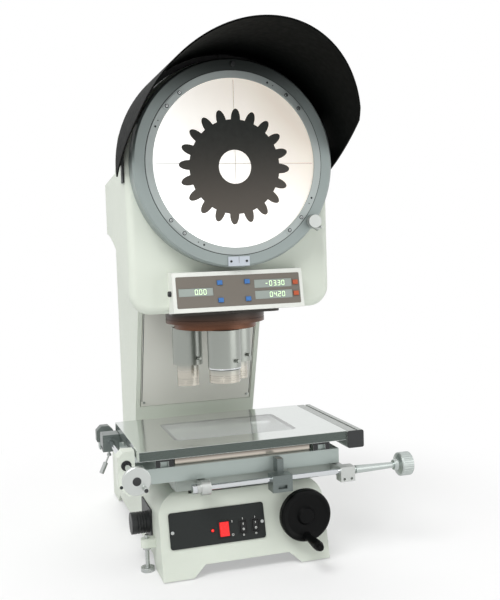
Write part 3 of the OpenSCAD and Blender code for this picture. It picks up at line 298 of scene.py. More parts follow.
@dataclass(frozen=True)
class Zone:
    """A second colour and roughness over one end of a part, along one axis of the shared frame."""

    axis: Axis
    start: float
    end: float
    colour: str
    rough: float

    def blend(
        self, tree: bpy.types.ShaderNodeTree, colour: bpy.types.NodeSocket, rough: bpy.types.NodeSocket
    ) -> tuple[bpy.types.NodeSocket, bpy.types.NodeSocket]:
        """Mixes the zone into a material.

        Args:
            tree: The material's nodes.
            colour: The colour before the zone.
            rough: The roughness before the zone.

        Returns:
            The colour and the roughness with the zone mixed in.
        """
        zone = tree.nodes.new("ShaderNodeGroup")
        zone.node_tree = KIT.zone
        zone.inputs["Axis"].default_value = self.axis.value
        zone.inputs["Start"].default_value = self.start
        zone.inputs["End"].default_value = self.end
        zone.inputs["Zone Color"].default_value = (*hex_colour(self.colour), 1)
        zone.inputs["Zone Roughness"].default_value = self.rough
        tree.links.new(colour, zone.inputs["Color"])
        tree.links.new(rough, zone.inputs["Roughness"])
        return zone.outputs["Color"], zone.outputs["Roughness"]


@dataclass(frozen=True)
class Finish:
    """A procedural finish of one kind of surface."""

    name: str
    colour: str
    tint: str
    metallic: float = 0.0
    rough: tuple[float, float] = (0.35, 0.5)
    mottle: float = 0.5
    grain: Grain = Grain.CAST
    bump: float = 0.03
    dust: float = 0.1
    edge_mm: float = 0.8
    edge_samples: int = 4
    bump_mm: float = 1.0
    transmission: float = 0.0
    glow: str | None = None
    glow_strength: float = 0.0
    shine: float = 0.5
    zone: Zone | None = None

    def material(self) -> bpy.types.Material:
        """Makes the finish's material once and gives it back on later calls.

        Returns:
            The Blender material.
        """
        found = bpy.data.materials.get(self.name)
        if found:
            return found
        made = bpy.data.materials.new(self.name)
        made.use_nodes = True
        nodes, link = made.node_tree.nodes, made.node_tree.links.new
        shader = nodes["Principled BSDF"]
        grain = nodes.new("ShaderNodeGroup")
        grain.node_tree = KIT.grain
        grain.inputs["Color"].default_value = (*hex_colour(self.colour), 1)
        grain.inputs["Tint"].default_value = (*hex_colour(self.tint), 1)
        grain.inputs["Stretch"].default_value = self.grain.value
        grain.inputs["Mottle"].default_value = self.mottle
        grain.inputs["Rough Low"].default_value = self.rough[0]
        grain.inputs["Rough High"].default_value = self.rough[1]
        dust = nodes.new("ShaderNodeGroup")
        dust.node_tree = KIT.dust
        dust.inputs["Amount"].default_value = self.dust
        colour, rough = grain.outputs["Color"], grain.outputs["Roughness"]
        if self.zone:
            colour, rough = self.zone.blend(made.node_tree, colour, rough)
        link(colour, dust.inputs["Color"])
        link(dust.outputs["Color"], shader.inputs["Base Color"])
        link(rough, shader.inputs["Roughness"])
        soft_edge = nodes.new("ShaderNodeBevel")
        soft_edge.samples = self.edge_samples
        soft_edge.inputs["Radius"].default_value = self.edge_mm * MM
        bump = nodes.new("ShaderNodeBump")
        bump.inputs["Strength"].default_value = self.bump
        bump.inputs["Distance"].default_value = self.bump_mm * MM
        link(grain.outputs["Height"], bump.inputs["Height"])
        link(soft_edge.outputs["Normal"], bump.inputs["Normal"])
        link(bump.outputs["Normal"], shader.inputs["Normal"])
        shader.inputs["Metallic"].default_value = self.metallic
        shader.inputs["Specular IOR Level"].default_value = self.shine
        shader.inputs["Transmission Weight"].default_value = self.transmission
        if self.glow:
            shader.inputs["Emission Color"].default_value = (*hex_colour(self.glow), 1)
            shader.inputs["Emission Strength"].default_value = self.glow_strength
        return made


CREAM = Finish("cream_enamel", "#d9dfd4", "#ccd3c7", rough=(0.36, 0.48), bump=0.05, dust=0.1, shine=0.2)
CHEEK_PAINT = Finish(
    "cheek_enamel", "#d9dfd4", "#ccd3c7", rough=(0.32, 0.44), bump=0.05, dust=0.1,
    zone=Zone(Axis.Y, -0.2, -0.1, "#626a67", 0.42),
)
COVER_PAINT = Finish("cover_enamel", "#e0e0d9", "#d6d5cd", rough=(0.38, 0.5), bump=0.04, dust=0.06)
READOUT_CASE = Finish("readout_case_enamel", "#e3e5df", "#d2d5ce", rough=(0.35, 0.45), bump=0.03, dust=0.08)
READOUT_FACE = Finish(
    "readout_face_film", "#716b62", "#67615a", rough=(0.42, 0.55), grain=Grain.FINE, bump=0.02,
    dust=0.05,
)
HOOD_BLACK = Finish(
    "hood_black_lacquer", "#070908", "#0c0e0d", rough=(0.55, 0.65), bump=0.02, dust=0.0, shine=0.06,
)
FITTING_BLACK = Finish("fitting_black_lacquer", "#1d1f20", "#2a2c2d", rough=(0.4, 0.55), bump=0.05)
PANEL_CHARCOAL = Finish(
    "panel_charcoal_film", "#1f2322", "#191c1b", rough=(0.5, 0.62), grain=Grain.FINE, dust=0.03,
    shine=0.3,
)
# Grey anodised ring housing; its zone darkens the top nearly to black: painted shade from the hood.
RING_GREY_HOOD_SHADE = Finish(
    "ring_grey_anodised_painted_hood_shade", "#98a2a0", "#8c9694", metallic=0.35, rough=(0.36, 0.48), grain=Grain.FINE,
    zone=Zone(Axis.Z, 0.96, 1.08, "#202624", 0.6),
)
RING_LIGHT = Finish(
    "ring_light_anodised", "#aeb6b4", "#a2aaa8", metallic=0.4, rough=(0.3, 0.42), grain=Grain.FINE,
)
STEEL_Y = Finish(
    "ground_steel_along", "#aeb2af", "#9ba09d", metallic=0.9, rough=(0.26, 0.4), grain=Grain.ALONG_Y,
)
PLAIN_STEEL = Finish(
    "plated_steel", "#bcc0be", "#a8acaa", metallic=0.95, rough=(0.24, 0.38), grain=Grain.FINE,
)
CHROME = Finish(
    "hard_chrome", "#d3d6d6", "#c2c6c7", metallic=1.0, rough=(0.06, 0.14), grain=Grain.ALONG_X,
    bump=0.01,
)
ALLOY = Finish("milled_alloy", "#c6c9c6", "#b2b6b3", metallic=0.85, rough=(0.3, 0.44), grain=Grain.ALONG_X)
# Satin alloy barrels; the zone makes their lower ends smoother, which is real, and brighter and warmer, which
# is a painted warm reflection.
BARREL = Finish(
    "barrel_satin_alloy", "#a0a49e", "#959993", metallic=0.9, rough=(0.3, 0.38), grain=Grain.TURNED_Z,
    bump=0.006, zone=Zone(Axis.Z, 0.43, 0.40, "#bfbbb0", 0.26),
)
IRON = Finish("stage_casting_enamel", "#a8b0aa", "#98a09a", metallic=0.2, rough=(0.42, 0.55), bump=0.06)
SADDLE_GREY = Finish(
    "saddle_ground_alloy", "#a9b3af", "#98a29e", metallic=0.55, rough=(0.3, 0.42), grain=Grain.ALONG_X,
    bump=0.02,
)
# Dark bronze turret; its zone turns the lower part orange-brown: a painted warm reflection of the lamp's
# light.
TURRET_DARK_LAMP_REFLECTION = Finish(
    "turret_dark_bronze_painted_lamp_reflection", "#2b2622", "#382e27", metallic=0.5, rough=(0.32, 0.46), grain=Grain.FINE,
    zone=Zone(Axis.Z, 0.55, 0.505, "#6d432b", 0.34),
)
BEARING_DARK = Finish(
    "bearing_black_oxide", "#35322f", "#46403a", metallic=0.4, rough=(0.4, 0.55), grain=Grain.FINE,
)
NUT_GREY = Finish(
    "nut_block_grey", "#747c7a", "#666e6c", metallic=0.8, rough=(0.26, 0.4), grain=Grain.ALONG_X,
)
BLACK_PLASTIC = Finish(
    "moulded_black", "#121313", "#191b1b", rough=(0.3, 0.42), grain=Grain.FINE, dust=0.03, shine=0.35,
)
RED_LIT = Finish(
    "rocker_red_lit", "#d41f26", "#b3161e", rough=(0.2, 0.3), grain=Grain.FINE, glow="#ff2a20",
    glow_strength=0.5,
)
LED_RED = Finish(
    "lamp_red_lit", "#e01a1a", "#c01414", rough=(0.15, 0.25), glow="#ff2018", glow_strength=1.2,
)
BLUE_KEY = Finish("key_blue", "#3f74b4", "#34649e", rough=(0.35, 0.48), grain=Grain.FINE, dust=0.03)
ORANGE_KEY = Finish("key_orange", "#b8552f", "#a54a28", rough=(0.35, 0.48), grain=Grain.FINE, dust=0.03)
WINDOW_PALE = Finish(
    "display_pale_glass", "#9ba49e", "#8f9892", rough=(0.14, 0.22), grain=Grain.FINE, dust=0.0,
)
DIGIT_GREEN = Finish(
    "figures_pale_green", "#dff0c4", "#d2e6b4", rough=(0.4, 0.5), glow="#c8f0c0", glow_strength=0.9,
)
MARK_WHITE = Finish("mark_white_ink", "#e9ebe7", "#dcdfda", rough=(0.5, 0.6), grain=Grain.FINE, dust=0.0)
# Near-black for printed marks, screws and joint lines, and for painted shade in screw sockets, oil holes and
# the gaps beside the column's cover.
DARK_INK_AND_SHADE = Finish("dark_ink_and_painted_shade", "#23282a", "#1b1f21", rough=(0.5, 0.6), grain=Grain.FINE, dust=0.0)
MIRROR = Finish(
    "silvered_glass", "#e3e8e9", "#d6dcde", metallic=1.0, rough=(0.02, 0.05), bump=0.0, dust=0.0,
)
CLEAR_GLASS = Finish(
    "clear_glass", "#e8f2f0", "#dcebe8", rough=(0.02, 0.05), bump=0.0, dust=0.0, transmission=0.9,
)
STAGE_GLASS = Finish(
    "stage_glass", "#f4f8f6", "#eaf0ee", rough=(0.0, 0.02), bump=0.0, dust=0.0, transmission=0.7,
    shine=1.0,
)
BULB = Finish(
    "lamp_bulb_glass", "#fff6df", "#fbeecb", rough=(0.08, 0.15), bump=0.0, dust=0.0, transmission=0.6,
)
# Shadow of the part in the picture; its zone makes it darker at the top and lighter towards the bottom:
# painted shade.
GEAR_SHADE = Finish(
    "picture_shadow", "#1e211e", "#262925", rough=(0.7, 0.8), mottle=0.7, bump=0.0, dust=0.0,
    zone=Zone(Axis.Z, 0.96, 0.74, "#5a544d", 0.75),
)
CROSS_LINE = Finish("picture_cross_line", "#7d8078", "#6d7068", rough=(0.7, 0.8), bump=0.0, dust=0.0)

RING_BRIGHT = Finish(
    "ring_bright_anodised", "#c3cad2", "#b5bdc6", metallic=0.4, rough=(0.35, 0.45), grain=Grain.FINE,
)
# Dark metal sheet on the table's front face: painted shade.
TABLE_EDGE_SHADE = Finish(
    "table_edge_painted_shade", "#5c6460", "#4e5652", metallic=0.8, rough=(0.22, 0.34),
    grain=Grain.ALONG_X,
)
# Polished slide strip; its zone darkens the top towards the table: painted shadow under the table.
POLISHED_TABLE_SHADOW = Finish(
    "polished_slide_painted_shadow", "#cdc5ba", "#b9b0a5", metallic=1.0, rough=(0.12, 0.2), grain=Grain.ALONG_X,
    bump=0.01, zone=Zone(Axis.Z, 0.2500, 0.2620, "#4a433d", 0.3),
)

TABLE_TOP = Finish(
    "ground_table_top", "#dce1de", "#ccd1ce", metallic=0.95, rough=(0.1, 0.17), grain=Grain.ALONG_X,
    bump=0.01,
)
X_ROD = Finish(
    "chrome_rod_across", "#d3d6d8", "#c4c8cb", metallic=1.0, rough=(0.06, 0.12), grain=Grain.FINE,
    bump=0.004, dust=0.02, zone=Zone(Axis.X, 0.222, 0.228, "#b9c0bd", 0.36),
)
Y_ROD = Finish(
    "chrome_rod_along", "#d3d6d8", "#c4c8cb", metallic=1.0, rough=(0.06, 0.12), grain=Grain.FINE,
    bump=0.004, dust=0.02, zone=Zone(Axis.Y, -0.412, -0.418, "#c9cdca", 0.36),
)
WHEEL_BLACK = Finish(
    "handwheel_black", "#050606", "#090a0a", rough=(0.4, 0.5), grain=Grain.FINE, dust=0.0, shine=0.12,
)

NODE_FINISH: dict[str, Finish] = {
    "base_casting": CREAM,
    "base_bottom_cover": PLAIN_STEEL,
    "control_panel": PANEL_CHARCOAL,
    "column_casting": CREAM,
    "column_front_plate": COVER_PAINT,
    "column_rear_cover": CREAM,
    "head_casting": CREAM,
    "ring_housing": RING_GREY_HOOD_SHADE,
    "hood": HOOD_BLACK,
    "hood_brackets": FITTING_BLACK,
    "dro_housing": READOUT_CASE,
    "dro_panel": READOUT_FACE,
    "display_windows": WINDOW_PALE,
    "turret_bearing": BEARING_DARK,
    "mirrors": MIRROR,
    "mirror_brackets": FITTING_BLACK,
    "lamp_house": FITTING_BLACK,
    "lamp_bulb": BULB,
    "condenser_lens": CLEAR_GLASS,
    "fan_housing": BLACK_PLASTIC,
    "fan_rotor": BLACK_PLASTIC,
    "power_supply": PLAIN_STEEL,
    "mains_inlet": BLACK_PLASTIC,
    "knee_guides": PLAIN_STEEL,
    "levelling_feet": PLAIN_STEEL,
    "casing_screws": PLAIN_STEEL,
    "screen_ring": RING_LIGHT,
    "screen_clips": RING_LIGHT,
    "ring_knob": ALLOY,
    "ring_clamp": ALLOY,
    "turret_disc": TURRET_DARK_LAMP_REFLECTION,
    "lens_barrels": BARREL,
    "objective_lenses": CLEAR_GLASS,
    "z_pinion": PLAIN_STEEL,
    "z_handwheel": WHEEL_BLACK,
    "z_handle": WHEEL_BLACK,
    "knee_casting": IRON,
    "knee_rack": PLAIN_STEEL,
    "y_rod_brackets": CHEEK_PAINT,
    "saddle_plate": SADDLE_GREY,
    "x_rod_brackets": ALLOY,
    "y_nut_block": NUT_GREY,
    "y_release_lever": PLAIN_STEEL,
    "table_plate": TABLE_TOP,
    "stage_glass": STAGE_GLASS,
    "x_nut_block": NUT_GREY,
    "scale_bar": STEEL_Y,
    "x_rod": X_ROD,
    "y_rod": Y_ROD,
    "power_rocker": RED_LIT,
    "contour_rocker": BLACK_PLASTIC,
    "surface_rocker": BLACK_PLASTIC,
    "key_zero_left": BLUE_KEY,
    "key_set_left": BLUE_KEY,
    "key_unit_left": BLUE_KEY,
    "key_mode_left": BLUE_KEY,
    "key_zero_x": ORANGE_KEY,
    "key_zero_y": ORANGE_KEY,
}


class Shop:
    """Makes meshes and puts each on the body that it moves with."""

    SHARP_DEG = 35.0

    @staticmethod
    def piece(
        name: str,
        points: list[Point],
        faces: list[list[int]],
        finish: Finish,
        body: str,
        slot: str,
        smooth: bool = False,
    ) -> bpy.types.Object:
        """Makes one piece from points and faces.

        Args:
            name: The piece's name.
            points: Its corners in metres.
            faces: Lists of corner numbers.
            finish: Its finish.
            body: The CAD body that it rides on.
            slot: The record's material slot that it belongs to. Not used.
            smooth: Whether the faces are shaded smoothly.

        Returns:
            The new object.
        """
        mesh = bpy.data.meshes.new(name)
        mesh.from_pydata([tuple(p) for p in points], [], faces)
        mesh.validate()
        mesh.update()
        if smooth:
            mesh.shade_smooth()
            mesh.set_sharp_from_angle(angle=math.radians(Shop.SHARP_DEG))
        made = bpy.data.objects.new(name, mesh)
        bpy.context.collection.objects.link(made)
        made.data.materials.append(finish.material())
        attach(made, body)
        LOG.info("piece %s on %s", name, body)
        return made


@dataclass
class Solid:
    """A list of points and faces that grows shape by shape in a local frame."""

    place: Matrix = field(default_factory=lambda: Matrix.Identity(4))
    points: list[Point] = field(default_factory=list)
    faces: list[list[int]] = field(default_factory=list)

    def prism(self, outline: list[tuple[float, float]], low: float, high: float) -> None:
        """Adds a straight prism.

        Args:
            outline: Corners in local X and Y, counter-clockwise, metres.
            low: Local Z of the lower end.
            high: Local Z of the upper end.
        """
        start, count = len(self.points), len(outline)
        for level in (low, high):
            self.points += [tuple(self.place @ Vector((x, y, level))) for x, y in outline]
        self.faces.append([start + i for i in reversed(range(count))])
        self.faces.append([start + count + i for i in range(count)])
        for i in range(count):
            j = (i + 1) % count
            self.faces.append([start + i, start + j, start + count + j, start + count + i])

    def box(self, x: float, y: float, width: float, height: float, low: float, high: float) -> None:
        """Adds a block centred at local x, y."""
        a, b = width / 2, height / 2
        self.prism([(x - a, y - b), (x + a, y - b), (x + a, y + b), (x - a, y + b)], low, high)

    def turned(
        self, profile: list[tuple[float, float]], centre: tuple[float, float] = (0, 0), steps: int = 32
    ) -> None:
        """Adds a shape turned about local Z.

        Args:
            profile: Radius and height pairs from one end to the other.
            centre: Local X and Y of the axis.
            steps: Number of segments round the axis.
        """
        start = len(self.points)
        for radius, height in profile:
            for i in range(steps):
                a = 2 * math.pi * i / steps
                spot = Vector((centre[0] + radius * math.cos(a), centre[1] + radius * math.sin(a), height))
                self.points.append(tuple(self.place @ spot))
        rows = len(profile)
        for r in range(rows - 1):
            for i in range(steps):
                j = (i + 1) % steps
                a, b = start + r * steps, start + (r + 1) * steps
                self.faces.append([a + i, a + j, b + j, b + i])
        self.faces.append([start + i for i in reversed(range(steps))])
        self.faces.append([start + (rows - 1) * steps + i for i in range(steps)])

    def disc(
        self,
        radii: tuple[float, float],
        low: float,
        high: float,
        centre: tuple[float, float] = (0, 0),
        steps: int = 32,
    ) -> None:
        """Adds a low disc whose two radii are those of its foot and of its face."""
        self.turned([(radii[0], low), (radii[1], high)], centre, steps)

    def hoop(
        self,
        inner: float,
        outer: float,
        low: float,
        high: float,
        centre: tuple[float, float] = (0, 0),
        steps: int = 48,
    ) -> None:
        """Adds a flat hoop about local Z.

        Args:
            inner: Radius of the hole.
            outer: Radius of the outside.
            low: Local Z of the lower face.
            high: Local Z of the upper face.
            centre: Local X and Y of the axis.
            steps: Number of segments.
        """
        start = len(self.points)
        for radius, level in ((inner, low), (outer, low), (outer, high), (inner, high)):
            for x, y in ring_outline(radius, steps):
                self.points.append(tuple(self.place @ Vector((centre[0] + x, centre[1] + y, level))))
        for r in range(4):
            for i in range(steps):
                j = (i + 1) % steps
                this, after = start + r * steps, start + (r + 1) % 4 * steps
                self.faces.append([this + i, this + j, after + j, after + i])

    def make(self, name: str, finish: Finish, body: str, slot: str, smooth: bool = False) -> bpy.types.Object:
        """Makes the piece."""
        return Shop.piece(name, self.points, self.faces, finish, body, slot, smooth)


def facing(origin: Point, lean_deg: float = 0.0) -> Matrix:
    """Makes the frame of a face that looks to the front.

    Args:
        origin: The frame's zero point in metres.
        lean_deg: How far the face leans back.

    Returns:
        A matrix with local X across, local Y up the face and local Z straight out of it.
    """
    lean = math.radians(lean_deg)
    across, up, out = (1, 0, 0), (0, math.sin(lean), math.cos(lean)), (0, -math.cos(lean), math.sin(lean))
    made = Matrix((across, up, out)).transposed().to_4x4()
    made.translation = Vector(origin)
    return made


def ring_outline(radius: float, steps: int) -> list[tuple[float, float]]:
    """Gives the corners of a circle, counter-clockwise."""
    turns = [2 * math.pi * i / steps for i in range(steps)]
    return [(radius * math.cos(a), radius * math.sin(a)) for a in turns]


@dataclass
class Studio:
    """Floor, lights and the camera of the photograph's view."""

    azimuth_deg: float = -17.56
    elevation_deg: float = 4.16
    roll_deg: float = -1.77
    focal_px: float = 844.71
    frame_px: float = 600.0
    sensor_mm: float = 36.0
    camera_mm: Point = (-515.3, -2034.7, 713.0)
    floor_size: float = 40.0
    fade_from: float = 0.45
    fade_to: float = 1.1
    floor_white: float = 0.35
    floor_shade: float = 0.86
    floor_rough: float = 0.9
    room_light: float = 0.42
    aim_mm: Point = (0, -100, 600)
    view_depth: float = 100.0

    def build(self) -> None:
        """Builds the floor, the world, the lamps and the camera."""
        self._floor()
        self._world()
        self._lamp("key_light", mm(-1900, -2300, 3900), size=2.2, power=150)
        self._lamp("fill_light", mm(2600, -2200, 900), size=2.6, power=34)
        self._lamp("rim_light", mm(600, 2600, 2600), size=2.4, power=50, mirrored=False)
        self._camera()

    def _floor(self) -> None:
        """Lays a pale floor that shows white to the camera and keeps the shadow."""
        half = self.floor_size / 2
        mesh = bpy.data.meshes.new("studio_floor")
        corners = [(-half, -half, 0), (half, -half, 0), (half, half, 0), (-half, half, 0)]
        mesh.from_pydata(corners, [], [[0, 1, 2, 3]])
        floor = bpy.data.objects.new("studio_floor", mesh)
        bpy.context.collection.objects.link(floor)
        paper = bpy.data.materials.new("studio_paper")
        paper.use_nodes = True
        nodes, link = paper.node_tree.nodes, paper.node_tree.links.new
        shader = nodes["Principled BSDF"]
        shader.inputs["Base Color"].default_value = (*[self.floor_shade] * 3, 1)
        shader.inputs["Roughness"].default_value = self.floor_rough
        white = nodes.new("ShaderNodeEmission")
        seen = self._seen_rays(nodes, link)
        place = nodes.new("ShaderNodeTexCoord")
        away = nodes.new("ShaderNodeVectorMath")
        away.operation = "LENGTH"
        link(place.outputs["Object"], away.inputs[0])
        fade = nodes.new("ShaderNodeMapRange")
        fade.interpolation_type = "SMOOTHSTEP"
        fade.inputs["From Min"].default_value = self.fade_from
        fade.inputs["From Max"].default_value = self.fade_to
        fade.inputs["To Min"].default_value = self.floor_white
        link(away.outputs["Value"], fade.inputs["Value"])
        share = nodes.new("ShaderNodeMath")
        share.operation = "MULTIPLY"
        link(fade.outputs[0], share.inputs[0])
        link(seen, share.inputs[1])
        blend = nodes.new("ShaderNodeMixShader")
        link(share.outputs[0], blend.inputs[0])
        link(shader.outputs[0], blend.inputs[1])
        link(white.outputs[0], blend.inputs[2])
        link(blend.outputs[0], nodes["Material Output"].inputs["Surface"])
        mesh.materials.append(paper)

    @staticmethod
    def _seen_rays(nodes: bpy.types.Nodes, link: Callable[..., object]) -> bpy.types.NodeSocket:
        """Picks the rays that show the white room: the camera's, gloss and glass.

        Args:
            nodes: The nodes of the floor's material or of the world.
            link: What joins two sockets there.

        Returns:
            A value of one for such a ray and zero for the light of the room.
        """
        path = nodes.new("ShaderNodeLightPath")
        seen = path.outputs["Is Camera Ray"]
        for name in ("Is Glossy Ray", "Is Transmission Ray"):
            either = nodes.new("ShaderNodeMath")
            either.operation = "MAXIMUM"
            link(seen, either.inputs[0])
            link(path.outputs[name], either.inputs[1])
            seen = either.outputs[0]
        return seen

    def _world(self) -> None:
        """Lights the room evenly and shows white to camera, glossy and glass rays."""
        world = bpy.data.worlds.new("studio_world")
        bpy.context.scene.world = world
        world.use_nodes = True
        nodes, link = world.node_tree.nodes, world.node_tree.links.new
        shade = nodes["Background"]
        seen = self._seen_rays(nodes, link)
        strength = nodes.new("ShaderNodeMapRange")
        strength.inputs["To Min"].default_value = self.room_light
        strength.inputs["To Max"].default_value = 1.0
        link(seen, strength.inputs["Value"])
        shade.inputs["Color"].default_value = (1, 1, 1, 1)
        link(strength.outputs[0], shade.inputs["Strength"])

    def _lamp(self, name: str, place: Point, size: float, power: float, mirrored: bool = True) -> None:
        """Hangs a soft square lamp that looks at the middle of the machine.

        Args:
            name: The lamp's name.
            place: Where it hangs, in metres.
            size: Its side in metres.
            power: Its power in watts.
            mirrored: Whether polished surfaces show it.
        """
        data = bpy.data.lights.new(name, "AREA")
        data.size = size
        data.energy = power
        lamp = bpy.data.objects.new(name, data)
        bpy.context.collection.objects.link(lamp)
        lamp.visible_glossy = mirrored
        lamp.location = place
        towards = Vector(mm(*self.aim_mm)) - Vector(place)
        lamp.rotation_euler = towards.to_track_quat("-Z", "Y").to_euler()

    def _camera(self) -> None:
        """Sets up the camera from the fitted angles and focal length."""
        az, el, roll = (math.radians(v) for v in (self.azimuth_deg, self.elevation_deg, self.roll_deg))
        ahead = Vector((-math.sin(az) * math.cos(el), math.cos(az) * math.cos(el), -math.sin(el)))
        level = Vector((math.cos(az), math.sin(az), 0))
        above = level.cross(ahead)
        right = math.cos(roll) * level + math.sin(roll) * above
        up = math.cos(roll) * above - math.sin(roll) * level
        data = bpy.data.cameras.new("photo_camera")
        data.sensor_width = self.sensor_mm
        data.lens = self.focal_px * self.sensor_mm / self.frame_px
        data.clip_end = self.view_depth
        camera = bpy.data.objects.new("photo_camera", data)
        bpy.context.collection.objects.link(camera)
        turn = Matrix((right, up, -ahead)).transposed().to_4x4()
        turn.translation = Vector(mm(*self.camera_mm))
        camera.matrix_world = turn
        bpy.context.scene.camera = camera


@dataclass
class ScreenPicture:
    """The lit screen: ground glass, the shadow of a toothed part on it and the cross lines."""

    teeth: int = 20
    tip_r: float = 120 * MM
    root_r: float = 98 * MM
    tooth_share: float = 0.66
    tooth_round: float = 0.72
    tooth_steps: int = 24
    bore_r: float = 35 * MM
    centre: tuple[float, float] = (-1 * MM, -7 * MM)
    lift: float = 0.15 * MM
    line_w: float = 0.7 * MM
    line_short: float = 22 * MM
    line_lifts: tuple[float, float] = (0.6, 0.55)
    glow: float = 0.66
    glow_slant: Point = (0.75, 0, 0.66)
    glow_reach: tuple[float, float] = (0.13, 0.19)
    glow_white: Colour = (0.98, 0.985, 0.97)
    glow_warm: Colour = (0.60, 0.545, 0.475)
    white_until: float = 0.12
    cloud_scale: float = 6.0
    cloud_share: float = 0.25
    glass_rough: float = 0.55
    turn_deg: float = -2.3

    def build(self) -> None:
        """Builds the glass, the shadow and the lines."""
        low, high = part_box("screen_glass")
        self.place = facing((0, low[1], (low[2] + high[2]) / 2))
        self.radius = (high[0] - low[0]) / 2
        self._glass()
        self._shadow()
        self._lines()

    def _glass(self) -> None:
        """Gives the glass a glow that is white at the lower left and warm at the upper right."""
        made = bpy.data.materials.new("ground_glass_lit")
        made.use_nodes = True
        nodes, link = made.node_tree.nodes, made.node_tree.links.new
        shader = nodes["Principled BSDF"]
        place = nodes.new("ShaderNodeTexCoord")
        slant = nodes.new("ShaderNodeVectorMath")
        slant.operation = "DOT_PRODUCT"
        slant.inputs[1].default_value = self.glow_slant
        link(place.outputs["Object"], slant.inputs[0])
        spread = nodes.new("ShaderNodeMapRange")
        middle = self.glow_slant[2] * (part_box("screen_glass")[0][2] + self.radius)
        spread.inputs["From Min"].default_value = middle - self.glow_reach[0]
        spread.inputs["From Max"].default_value = middle + self.glow_reach[1]
        link(slant.outputs["Value"], spread.inputs["Value"])
        cloud = nodes.new("ShaderNodeTexNoise")
        cloud.inputs["Scale"].default_value = self.cloud_scale
        link(place.outputs["Object"], cloud.inputs["Vector"])
        uneven = nodes.new("ShaderNodeMath")
        uneven.operation = "MULTIPLY_ADD"
        uneven.inputs[1].default_value = self.cloud_share
        link(cloud.outputs["Fac"], uneven.inputs[0])
        link(spread.outputs[0], uneven.inputs[2])
        ramp = nodes.new("ShaderNodeValToRGB")
        ramp.color_ramp.elements[0].position = self.white_until
        ramp.color_ramp.elements[0].color = (*self.glow_white, 1)
        ramp.color_ramp.elements[1].position = 1.0
        ramp.color_ramp.elements[1].color = (*self.glow_warm, 1)
        link(uneven.outputs[0], ramp.inputs["Fac"])
        link(ramp.outputs["Color"], shader.inputs["Base Color"])
        link(ramp.outputs["Color"], shader.inputs["Emission Color"])
        shader.inputs["Emission Strength"].default_value = self.glow
        shader.inputs["Roughness"].default_value = self.glass_rough
        dress("screen_glass", made)

    def _gear_outline(self) -> list[tuple[float, float]]:
        """Gives the toothed outline, with round tips and valleys.

        Returns:
            Corners in the screen's plane, counter-clockwise.
        """
        steps = self.tooth_steps
        outline = []
        for tooth in range(self.teeth):
            for k in range(steps):
                share = k / steps
                across = min(share, 1 - share) / (self.tooth_share / 2)
                level = max(0.0, 1 - across**2) ** self.tooth_round
                radius = self.root_r + (self.tip_r - self.root_r) * level
                angle = 2 * math.pi * (tooth + share) / self.teeth + math.radians(self.turn_deg)
                outline.append((radius * math.cos(angle), radius * math.sin(angle)))
        return outline

    def _shadow(self) -> None:
        """Makes the shadow as a flat plate with a round hole."""
        outer = self._gear_outline()
        count = len(outer)
        inner = ring_outline(self.bore_r, count)
        shape = Solid(self.place)
        for level in (0.0, self.lift):
            for x, y in outer + inner:
                spot = Vector((x + self.centre[0], y + self.centre[1], level))
                shape.points.append(tuple(self.place @ spot))
        back, front = 0, 2 * count
        for i in range(count):
            j = (i + 1) % count
            shape.faces.append([front + i, front + j, front + count + j, front + count + i])
            shape.faces.append([back + j, back + i, back + count + i, back + count + j])
            shape.faces.append([back + i, back + j, front + j, front + i])
            shape.faces.append([back + count + j, back + count + i, front + count + i, front + count + j])
        shape.make("picture_shadow", GEAR_SHADE, "frame", "screen")

    def _lines(self) -> None:
        """Draws the cross lines on the glass."""
        shape = Solid(self.place)
        reach = 2 * self.radius - self.line_short
        shape.box(0, 0, reach, self.line_w, 0, self.line_lifts[0] * self.lift)
        shape.box(0, 0, self.line_w, reach, 0, self.line_lifts[1] * self.lift)
        shape.make("screen_cross_lines", CROSS_LINE, "ring", "screen")


def dress(node: str, material: bpy.types.Material) -> None:
    """Puts a material on a CAD node.

    Args:
        node: The node's name.
        material: The material for all its slots.
    """
    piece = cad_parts[node]
    if not piece.material_slots:
        piece.data.materials.append(material)
    for slot in piece.material_slots:
        slot.material = material


@dataclass(frozen=True)
class FigureRow:
    """Figures in one window: its name, the text, its middle and which figure has the point after it."""

    name: str
    text: str
    x: float
    y: float
    dot: int


